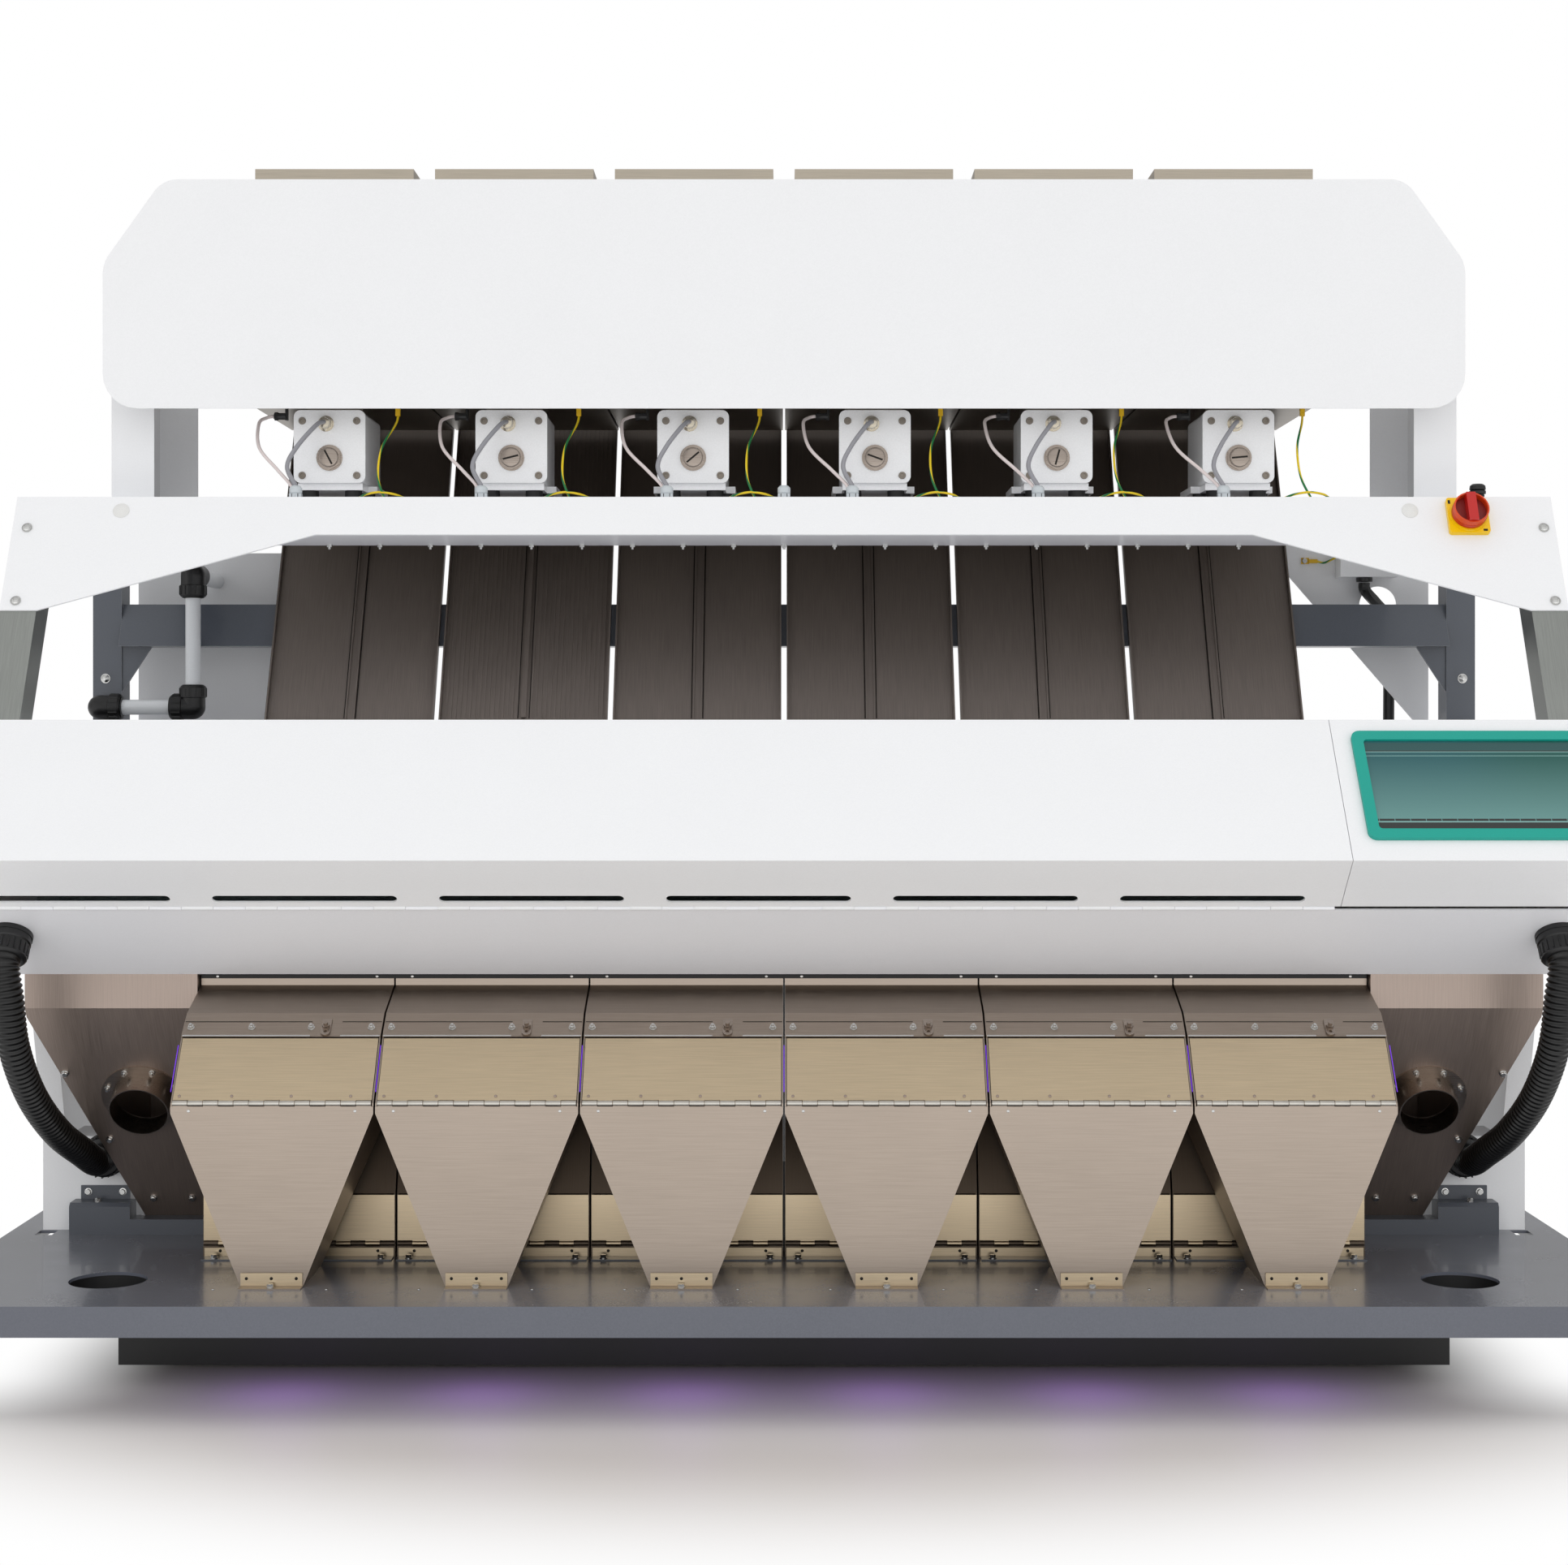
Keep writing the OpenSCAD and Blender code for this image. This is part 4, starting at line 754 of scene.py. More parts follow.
@dataclass
class Studio:
    """Camera, floor, lights and background of the picture.

    Attributes:
        eye: Place of the camera.
        lens: Focal length in millimetres on a 36 mm sensor.
        rise: Shift of the picture, as a share of its width.
    """

    eye: Point = (0.0, -4.5, 1.056)
    lens: float = 58.58
    rise: float = -0.0331

    def build(self) -> None:
        """Makes the camera, the floor, the background and the lights."""
        data = bpy.data.cameras.new("camera")
        data.lens, data.sensor_width, data.shift_y = self.lens, 36.0, self.rise
        camera = bpy.data.objects.new("camera", data)
        camera.location = self.eye
        camera.rotation_euler = (math.pi / 2, 0.0, 0.0)
        bpy.context.scene.collection.objects.link(camera)
        bpy.context.scene.camera = camera
        bpy.context.scene.view_settings.view_transform = "Standard"
        self.floor()
        self.background()
        self.light("key", (0.0, -2.5, 5.5), (0.0, 0.0, 0.9), (8.0, 5.0), 28.0)
        self.light("fill", (0.0, -8.0, 3.4), (0.0, 0.0, 1.3), (13.0, 6.0), 99.0)
        self.light("left", (-5.0, -2.6, 2.4), (0.0, 0.0, 0.9), (2.4, 4.0), 13.0)
        self.light("right", (5.0, -2.6, 2.4), (0.0, 0.0, 0.9), (2.4, 4.0), 13.0)
        self.light("bounce", (0.0, -2.6, 0.25), (0.0, -0.5, 0.85), (6.0, 0.8), 10.5)
        for lane, x in enumerate(LANES, 1):
            self.light(f"violet_{lane}", (x, -0.44, 0.13), (x, -0.46, 0.0), (0.09, 0.12), 0.045,
                       (0.5, 0.2, 1.0))
        LOG.info("studio ready")

    def light(
        self, name: str, place: Point, target: Point, size: tuple[float, float], power: float,
        colour: Rgb = (1.0, 1.0, 1.0),
    ) -> None:
        """Makes a soft area light.

        Args:
            name: Name of the light.
            place: Where it stands.
            target: What it points at.
            size: Width and height.
            power: Power in watts.
            colour: Colour of its light.
        """
        data = bpy.data.lights.new(name, "AREA")
        data.shape, data.size, data.size_y, data.energy, data.color = "RECTANGLE", *size, power, colour
        lamp = bpy.data.objects.new(name, data)
        axes = axes_of(np.asarray(place, float) - np.asarray(target, float))
        lamp.matrix_world = Matrix([[*axes[:, k], place[k]] for k in range(3)] + [[0.0, 0.0, 0.0, 1.0]])
        lamp.visible_camera = False
        bpy.context.scene.collection.objects.link(lamp)

    def background(self) -> None:
        """White behind the object, and an even soft light from all round."""
        world = bpy.data.worlds.new("studio")
        bpy.context.scene.world = world
        world.use_nodes = True
        tree = world.node_tree
        seen = node(tree, "ShaderNodeLightPath").outputs["Is Camera Ray"]
        mirror = node(tree, "ShaderNodeLightPath").outputs["Is Glossy Ray"]
        around = node(tree, "ShaderNodeMapRange", Value=mirror, To_Min=0.8, To_Max=0.52)
        strength = node(tree, "ShaderNodeMix", i0=seen, i2=around.outputs[0], i3=1.0)
        shader = tree.nodes["Background"]
        shader.inputs["Color"].default_value = (1.0, 1.0, 1.0, 1.0)
        tree.links.new(strength.outputs[0], shader.inputs["Strength"])

    def floor(self) -> None:
        """Pale floor that fades into the white background away from the object."""
        corner = np.array([[-1.0, -1.0], [1.0, -1.0], [1.0, 1.0], [-1.0, 1.0]]) * 20
        mesh = bpy.data.meshes.new("floor")
        mesh.from_pydata(np.column_stack([corner, np.zeros(4)]).tolist(), [], [[0, 1, 2, 3]])
        made = bpy.data.objects.new("floor", mesh)
        bpy.context.scene.collection.objects.link(made)
        mesh.materials.append(self.floor_look())

    def floor_look(self) -> bpy.types.Material:
        """Floor finish: painted shade that makes it darker below the machine, painted light that makes it
        paler just before it, and white far off and past its ends.

        Returns:
            The material.
        """
        look = bpy.data.materials.new("floor")
        look.use_nodes = True
        tree = look.node_tree
        shader = tree.nodes["Principled BSDF"]
        place = node(tree, "ShaderNodeTexCoord").outputs["Object"]
        noise = node(tree, "ShaderNodeTexNoise", Vector=place, Scale=3.0, Detail=4.0).outputs["Fac"]
        pale = mixed(tree, noise, linear((226, 219, 214)), linear((234, 228, 224)))
        across, depth = node(tree, "ShaderNodeSeparateXYZ", Vector=place).outputs[:2]
        # Painted light: a paler band on the floor just before the machine's front edge.
        pale = mixed(tree, ramp(tree, depth, -0.8, -0.5), pale, linear((255, 250, 247)))
        # Painted shade: the floor turns darker below the machine.
        colour = mixed(tree, ramp(tree, depth, -0.46, -0.18), pale, linear((160, 154, 150)))
        ray = node(tree, "ShaderNodeLightPath").outputs
        # Only camera rays see the painted light and shade; other rays see an even floor colour.
        colour = mixed(tree, ray["Is Camera Ray"], linear((236, 234, 232)), colour)
        tree.links.new(colour, shader.inputs["Base Color"])
        shader.inputs["Roughness"].default_value = 0.5
        near = node(tree, "ShaderNodeVectorMath", {"operation": "MULTIPLY"}, i0=place, i1=(0.42, 0.62, 0.0))
        far = node(tree, "ShaderNodeVectorMath", {"operation": "LENGTH"}, i0=near.outputs[0])
        fade = ramp(tree, far.outputs["Value"], 0.5, 0.86)
        side = ramp(tree, maths(tree, "ABSOLUTE", across), 1.0, 1.32)
        bare = maths(tree, "MAXIMUM", fade, maths(tree, "MULTIPLY", side, ramp(tree, depth, -0.75, -0.3)))
        seen = maths(tree, "MAXIMUM", ray["Is Camera Ray"], ray["Is Glossy Ray"])
        share = maths(tree, "MULTIPLY", bare, seen)
        white = node(tree, "ShaderNodeEmission", Color=(1.0, 1.0, 1.0, 1.0), Strength=1.0)
        both = node(tree, "ShaderNodeMixShader", i0=share, i1=shader.outputs[0], i2=white.outputs[0])
        tree.links.new(both.outputs[0], tree.nodes["Material Output"].inputs["Surface"])
        return look


@dataclass(frozen=True)
class StripedFinish(Finish):
    """Two colours side by side along a lead, told apart by the mesh's own attribute.

    Attributes:
        second: The second colour.
    """

    second: Rgb = (0.0, 0.0, 0.0)

    def base(self, tree: bpy.types.NodeTree) -> object:
        """Colour from the attribute named stripe.

        Args:
            tree: The material's tree.

        Returns:
            The colour's socket.
        """
        share = node(tree, "ShaderNodeAttribute", {"attribute_name": "stripe"}).outputs["Fac"]
        step = maths(tree, "GREATER_THAN", share, 0.45)
        return mixed(tree, step, linear(self.colour), linear(self.second))


EARTH = StripedFinish("earth_lead", (10, 120, 62), 0.38, grain=Grain.MOULDED, second=(238, 206, 20))


@dataclass
class Hoses:
    """The two corrugated aspiration hoses with their connector rings.

    Attributes:
        outer: Radius over the ribs.
        depth: Depth of the valleys.
        pitch: Distance between two ribs.
    """

    outer: float = 0.025
    depth: float = 0.0032
    pitch: float = 0.0092

    def path(self) -> np.ndarray:
        """Middle line of the right hose, from the upper connector to the lower.

        Returns:
            Evenly spaced points.
        """
        points = np.array([
            [1237, -437.4, 706.4], [1237, -454.9, 682.5], [1230, -455, 630], [1228, -430, 550],
            [1219, -366, 464], [1202, -280, 392], [1184, -190, 343], [1180, -127, 318],
            [1180, -87.3, 318]]) * MM
        fine = curve_through(points.tolist(), 24)
        return spaced(fine, int(length_of(fine) / self.pitch * 6))

    def build(self) -> None:
        """Makes both hoses: the radius falls and rises once per rib, as a raised cosine of the distance."""
        line = self.path()
        far = np.linspace(0, length_of(line), len(line))
        wave = 0.5 - 0.5 * np.cos(2 * np.pi * far / self.pitch)
        tube = swept(line, self.outer - self.depth * wave**1.4, 28)
        for side, shape in (("right", tube), ("left", tube.mirrored())):
            hose = put(f"corrugated_hose_{side}", shape, HOSE, sharp=80.0)
            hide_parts(f"hose_{side}")
        self.rings()

    def rings(self) -> None:
        """Nuts with grips over the connectors, and the blue seals against the housing."""
        up, down = np.array([0.0, -0.590, -0.807]), np.array([0.0, -1.0, 0.0])
        top, low = np.array([1.237, -0.4195, 0.7309]), np.array([1.180, -0.057, 0.318])
        seal = turned([(31.8, 0.0, 0), (33.5, 1.0, 0), (33.5, 3.5, 0), (31.8, 4.5, 0)], 48).placed(top, up)
        put("hose_seals", joined(seal, seal.mirrored()), BLUE_RING)
        high = turned([(33.0, 4.6, 0), (35.0, 6.0, 0), (35.0, 18.0, 0), (33.0, 20.0, 0), (32.6, 44.0, 0),
                       (30.0, 47.0, 0), (25.4, 48.0, 0)], 48).placed(top, up)
        deep = turned([(36.0, 0.4, 0), (38.0, 2.0, 0), (38.0, 9.0, 0), (35.6, 11.0, 0), (35.0, 26.0, 0),
                       (32.0, 30.0, 0), (25.4, 31.0, 0)], 48).placed(low, down)
        nuts = joined(high, deep)
        put("hose_nuts", joined(nuts, nuts.mirrored()), BLACK_PLASTIC)
        grip = joined(self.grip(top + up * 0.0225, up, 0.0334), self.grip(low + down * 0.0115, down, 0.0359))
        put("hose_grips", joined(grip, grip.mirrored()), BLACK_PLASTIC)

    def grip(self, place: np.ndarray, out: np.ndarray, far: float) -> Surface:
        """Ribs round a nut: one short bar, carried round the nut's axis in equal steps.

        Args:
            place: Point of the axis where the ribs start.
            out: Direction of the axis.
            far: Distance of the ribs from the axis.

        Returns:
            All the ribs as one surface.
        """
        rib = plated(np.array([[-1.5, -1.0], [1.5, -1.0], [1.0, 1.0], [-1.0, 1.0]]) * MM, 0.018)
        caps = [cap[::-1] for cap in rib.caps]
        axes = axes_of(out)
        ribs = []
        for angle in np.arange(20) * 2 * np.pi / 20:
            c, s = math.cos(angle), math.sin(angle)
            turn = rib.points @ np.array([[-s, c, 0.0], [c, s, 0.0], [0.0, 0.0, 1.0]])
            spot = place + far * (c * axes[0] + s * axes[1])
            ribs.append(Surface(turn @ axes + spot, rib.quads[:, ::-1], caps))
        return joined(*ribs)


class Lead(Enum):
    """Leads of one feeder: diameter in millimetres, and points relative to its lane."""

    SUPPLY = (8.0, ((-6, -30, 1597), (-16, -52, 1588), (-44, -78, 1548), (-58, -94, 1512),
                    (-42, -100, 1478)))
    SENSOR = (6.0, ((-104.6, 24, 1613), (-116, 20, 1610), (-126, 0, 1597), (-116, -46, 1550),
                    (-78, -78, 1508), (-55, -93, 1484), (-46, -99, 1470)))
    EARTH = (4.0, ((117, 14, 1611.4), (114, 6, 1596), (97, -40, 1550), (96, -76, 1496), (110, -96, 1457)))
    LINK = (4.0, ((66, -88, 1458.5), (80, -104, 1463), (104, -111, 1466), (128, -106, 1463),
                  (142, -90, 1458.5)))


@dataclass
class Leads:
    """Supply, sensor and earth leads of the six feeders.

    Attributes:
        looks: Finish of each kind of lead.
        turn: Number of rings along a lead in which its stripe goes once round.
    """

    looks: dict[Lead, Finish] = field(default_factory=lambda: {
        Lead.SUPPLY: LEAD_GREY, Lead.SENSOR: LEAD_PALE, Lead.EARTH: EARTH, Lead.LINK: EARTH})
    turn: int = 36

    def build(self) -> None:
        """Makes the leads of all the lanes; the short links have no part of the frame to stand for."""
        for lane, x in enumerate(LANES, 1):
            for kind in Lead:
                width, points = kind.value
                start = np.array(points, float) * MM + [x, 0.0, 0.0]
                line = spaced(curve_through(start.tolist(), 16), LEAD_RINGS)
                made = self.lead(f"{kind.name.lower()}_lead_{lane}", line, width * MM, self.looks[kind])
                if kind is not Lead.LINK:
                    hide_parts("feeder_leads")

    def lead(self, name: str, line: np.ndarray, width: float, finish: Finish) -> bpy.types.Object:
        """Makes a lead as a round tube along its line, striped where its finish has two colours.

        Args:
            name: Name of the piece.
            line: Points of its middle line.
            width: Its diameter.
            finish: Its finish.

        Returns:
            The new object.
        """
        tube = swept(line, np.full(len(line), width / 2), LEAD_SIDES)
        made = put(name, tube, finish, sharp=80.0)
        if isinstance(finish, StripedFinish):
            self.stripe(made, len(line))
        return made

    def stripe(self, lead: bpy.types.Object, rings: int) -> None:
        """Marks where the second colour runs: about half way round, turning slowly along the lead.

        Args:
            lead: The lead.
            rings: Number of its rings.
        """
        ring, side = np.meshgrid(np.arange(rings), np.arange(LEAD_SIDES), indexing="ij")
        wave = 0.5 + 0.5 * np.cos(2 * np.pi * (side / LEAD_SIDES + ring / self.turn))
        store = lead.data.attributes.new("stripe", "FLOAT", "POINT")
        store.data.foreach_set("value", wave.ravel().astype(np.float32))


class Head(Enum):
    """Heads of fasteners: rows of radius and height in millimetres, and the share of a hexagon."""

    HEX = ((6.5, 0.0, 0), (6.5, 1.2, 0), (5.6, 1.3, 1), (5.6, 5.2, 1), (4.4, 5.9, 0.3))
    STUD = ((5.6, 0.0, 0), (5.6, 1.0, 0), (4.8, 1.1, 1), (4.8, 4.6, 1), (2.5, 4.8, 0), (2.5, 8.5, 0))
    CAP = ((6.6, 0.0, 0), (6.6, 1.6, 0), (5.9, 2.3, 0), (3.7, 2.3, 0), (3.4, 0.7, 1))
    DOME = ((9.0, 0.0, 0), (9.0, 1.4, 0), (7.6, 1.5, 0), (7.2, 4.0, 0), (5.0, 6.0, 0), (2.0, 6.8, 0))
    RIVET = ((2.6, 0.0, 0), (2.4, 0.8, 0), (1.4, 1.4, 0))
    PLUG = ((14.0, 0.0, 0), (14.0, 1.2, 0), (12.6, 2.2, 0))

    def at(self, places: object, out: object, sides: int = 12) -> Surface:
        """Sets a head at each of several places on a face.

        Args:
            places: Places in millimetres, one row each.
            out: Direction out of the face.
            sides: Number of points in a ring.

        Returns:
            All the heads as one surface, in metres.
        """
        return turned_at(list(self.value), places, out, sides)


def turned_at(profile: list[Row], places: object, out: object, sides: int = 24) -> Surface:
    """Turns a profile and sets it at each of several places on a face.

    Args:
        profile: Rows of radius and height in millimetres, and the share of a hexagon.
        places: Places in millimetres, one row each.
        out: Direction out of the face.
        sides: Number of points in a ring.

    Returns:
        All the copies as one surface, in metres.
    """
    shape = turned(profile, sides).placed(np.zeros(3), np.asarray(out, float))
    return shape.repeated(np.atleast_2d(places) * MM)


def per_lane(offsets: list[float], y: float, z: float) -> np.ndarray:
    """Places repeated in every lane.

    Args:
        offsets: Distances from the lane's middle, in millimetres.
        y: Depth of the places.
        z: Height of the places.

    Returns:
        Array of places in millimetres.
    """
    x = (LANES_MM[:, None] + np.asarray(offsets, float)[None]).ravel()
    return np.column_stack([x, np.full(len(x), y), np.full(len(x), z)])


def along_x(x: np.ndarray) -> np.ndarray:
    """Shifts from side to side.

    Args:
        x: Distances to the right, in millimetres.

    Returns:
        Array of shifts in metres.
    """
    return np.column_stack([x, np.zeros((len(x), 2))]) * MM


def two_sided(places: list[tuple[float, float, float]]) -> np.ndarray:
    """Places on the right and their reflections on the left.

    Args:
        places: Places on the right, in millimetres.

    Returns:
        Array of all the places.
    """
    right = np.asarray(places, float)
    return np.concatenate([right, right * [-1.0, 1.0, 1.0]])


def bar(low: object, high: object) -> Surface:
    """A box between two corners.

    Args:
        low: Lower corner in millimetres.
        high: Upper corner in millimetres.

    Returns:
        The closed box, in metres.
    """
    a, b = np.asarray(low, float) * MM, np.asarray(high, float) * MM
    outline = np.array([[a[0], a[1]], [b[0], a[1]], [b[0], b[1]], [a[0], b[1]]])
    box = plated(outline, b[2] - a[2])
    return Surface(box.points + [0.0, 0.0, a[2]], box.quads, box.caps)


def lying(width: float, height: float, thickness: float, middle: object, out: object) -> Surface:
    """A thin plate on a sloping face.

    Args:
        width: Size along X in millimetres.
        height: Size up the face.
        thickness: Thickness out of the face.
        middle: Middle of its foot on the face.
        out: Direction out of the face.

    Returns:
        The closed plate, in metres.
    """
    plate = bar((-width / 2, -height / 2, 0), (width / 2, height / 2, thickness))
    return plate.placed(np.asarray(middle, float) * MM, np.asarray(out, float))


@dataclass
class CollectingHoppers:
    """Fasteners, seams and light of the front and rear collecting hoppers, in millimetres.

    Attributes:
        foot: Lower edge of the strip's outer face above a flap, in depth and height.
        rise: Direction up the strip.
        out: Direction out of the strip.
        front: Depth of the cones' front faces.
        hinge: Depth and height of the flaps' hinge line.
        flap_out: Direction out of a flap.
        seal: Depth of the front of the dark strip along the flange above the strips.
        doubler: Depth of the outer faces of the feet's doubling plates.
        rear_foot: Depth of the outer faces of the strips at the rear hoppers' feet.
        flange_top: Height of the top of the foot flanges.
    """

    foot: tuple[float, float] = (-444.3, 569.6)
    rise: tuple[float, float] = (0.779, 0.627)
    out: tuple[float, float] = (-0.627, 0.779)
    front: float = -516.0
    hinge: tuple[float, float] = (-515.0, 474.0)
    flap_out: Point = (0.0, -0.794, 0.608)
    seal: float = -305.6
    doubler: float = -518.7
    rear_foot: float = -290.9
    flange_top: float = BASE_TOP + 2.0

    def on_strip(self, far: float) -> tuple[float, float]:
        """Point of the strip's outer face.

        Args:
            far: Distance up from its lower edge.

        Returns:
            Depth and height.
        """
        return self.foot[0] + far * self.rise[0], self.foot[1] + far * self.rise[1]

    def build(self) -> None:
        """Makes the pieces of all the lanes."""
        self.strip()
        self.fronts()
        self.feet()
        self.flap_rivets()
        self.sleeves()
        self.rear_feet()
        self.light()

    def strip(self) -> None:
        """Studs of the strip above each flap, the edge of its plate and the bright band painted as the
        highlight on its lower fold.
        """
        out = (0.0, *self.out)
        studs = per_lane([-146, -49, 46, 142], *self.on_strip(19.5))
        put("strip_studs", Head.STUD.at(studs, out), BRIGHT)
        # The bright band along the strip's lower fold is a painted highlight.
        lines = (("plate_edges", 33.0, 1.0, SOCKET), ("strip_fold_highlights", 2.0, 3.0, BRIGHT))
        for name, far, height, finish in lines:
            y, z = self.on_strip(far)
            pieces = [lying(right - left, height, 0.4, (x + (left + right) / 2, y, z), out)
                      for x in LANES_MM for left, right in ((-157, 46), (94, 157))]
            put(name, joined(*pieces), finish)

    def fronts(self) -> None:
        """Screws of the cones, and the dark strip along the gap under the apron and the screws of the flange
        above the strips.
        """
        screws = per_lane([-130, 130], self.front, 462)
        put("hopper_screws", Head.RIVET.at(screws, FORWARD), BRIGHT)
        # A dark strip along the flange, in the gap under the apron's lower edge.
        seal = bar((-958, self.seal, 648.8), (958, self.seal + 1.6, 656.6))
        put("flange_dark_strip", seal, BLACK_RUBBER)
        screws = per_lane([-131, 131], self.seal, 652)
        put("flange_screws", Head.RIVET.at(screws, FORWARD), BRIGHT)

    def feet(self) -> None:
        """Screws of the base plate before the cones, and bolts and doubling plates of the front feet."""
        screws = per_lane([-88, 88], -532, BASE_TOP)
        put("plate_screws", Head.RIVET.at(screws, UPWARD), BRIGHT)
        bolts = per_lane([0], -527.5, self.flange_top)
        put("foot_bolts", Head.HEX.at(bolts, UPWARD), BRIGHT)
        plate = bar((-48.3, self.doubler, self.flange_top + 0.4),
                    (48.3, self.doubler + 0.6, self.flange_top + 20.6))
        put("foot_doublers", plate.repeated(along_x(LANES_MM)), FLAP_STEEL)
        rivets = per_lane([-39, 0, 39], self.doubler, 201)
        put("doubler_rivets", Head.RIVET.at(rivets, FORWARD), SOCKET)

    def flap_rivets(self) -> None:
        """Rivets along the lower edge of each front flap."""
        places = per_lane([-146, -64, 29, 122], -508.6, 484.2).reshape(len(LANES), -1, 3)
        for lane, spots in enumerate(places, 1):
            put(f"flap_rivets_{lane}", Head.RIVET.at(spots, self.flap_out), DULL_STEEL,
                body=f"front_flap_{lane}_body")

    def sleeves(self) -> None:
        """Bright sleeves on the knuckles of the front hinges: short round tubes about the hinge line."""
        cell = 2 * KNUCKLE_HALF / KNUCKLES
        rows = [(4.15, 0.5, 0), (4.3, 0.8, 0), (4.3, cell - 0.8, 0), (4.15, cell - 0.5, 0)]
        sleeve = turned(rows, 20).placed(np.zeros(3), np.array([1.0, 0.0, 0.0]))
        first = -KNUCKLE_HALF + cell * np.arange(KNUCKLES)
        fixed = per_lane(first[::2].tolist(), *self.hinge) * MM
        put("hinge_sleeves", sleeve.repeated(fixed), HINGE_STEEL)
        moving = per_lane(first[1::2].tolist(), *self.hinge).reshape(len(LANES), -1, 3) * MM
        for lane, shifts in enumerate(moving, 1):
            put(f"hinge_sleeves_{lane}", sleeve.repeated(shifts), HINGE_STEEL,
                body=f"front_flap_{lane}_body")

    def rear_feet(self) -> None:
        """Strips, flanges and fasteners at the feet of the rear hoppers."""
        strip = bar((-156, self.rear_foot, self.flange_top),
                    (156, self.rear_foot + 0.7, self.flange_top + 14))
        put("rear_foot_strips", strip.repeated(along_x(LANES_MM)), FLAP_STEEL)
        rivets = per_lane([-130, 130], self.rear_foot, 198)
        put("rear_foot_rivets", Head.RIVET.at(rivets, FORWARD), SOCKET)
        flange = bar((-156, -318, BASE_TOP + 0.1), (156, -292, self.flange_top))
        put("rear_foot_flanges", flange.repeated(along_x(LANES_MM)), FRAME_GREY)
        bolts = per_lane([-137, 137], -305, self.flange_top)
        put("rear_foot_bolts", Head.HEX.at(bolts, UPWARD), BRIGHT)

    def light(self) -> None:
        """Glowing strips: painted violet light in the narrow gaps between the hoppers' flaps, and 1 mm past
        the outer two.
        """
        across = SEAMS + [-1, 0, 0, 0, 0, 0, 1]
        strip = lying(1.2, 84.0, 1.0, (0.0, -476.0, 523.0), self.flap_out)
        put("gap_lights", strip.repeated(along_x(across)), VIOLET)


@dataclass
class EndPlates:
    """Fasteners of the end plates, the spigots and the brackets on the base.

    Attributes:
        slope: Direction out of the right end plate.
        spigot: Middle of the right spigot's flange, in millimetres.
        circle: Radius of the circle of its bolts.
    """

    slope: Point = (0.0, -0.8327, -0.5537)
    spigot: Point = (1077.0, -211.1, 440.3)
    circle: float = 60.5

    def build(self) -> None:
        """Makes the bolts on both sides, and the liners of the base plate's round holes."""
        spots = two_sided([(1200, -240.4, 484.3), (1147, -158.7, 361.4), (1091, -83.2, 248.0),
                           (1024, -83.2, 248.0)])
        put("end_plate_bolts", Head.HEX.at(spots, self.slope), BRIGHT)
        angle = np.radians(22.5 + 45 * np.arange(8))
        axes = axes_of(np.asarray(self.slope))
        ring = self.circle * (np.cos(angle)[:, None] * axes[0] + np.sin(angle)[:, None] * axes[1])
        spots = two_sided((np.array(self.spigot) + 3.0 * axes[2] + ring).tolist())
        put("spigot_bolts", Head.STUD.at(spots, self.slope), BRIGHT)
        tabs = joined(Head.HEX.at(two_sided([(1210, -61, 254), (1150, -61, 254)]), FORWARD),
                      Head.HEX.at(two_sided([(1188, -80, 241)]), UPWARD))
        put("bracket_bolts", tabs, BRIGHT)
        tube = collar([(60.6, 120, 0), (63.0, 120, 0), (63.0, 181.8, 0), (61.2, 181.8, 0)], 64)
        liner = tube.repeated(two_sided([(1069, -465, 0)]) * MM)
        put("hole_liners", liner, BLACK_RUBBER)


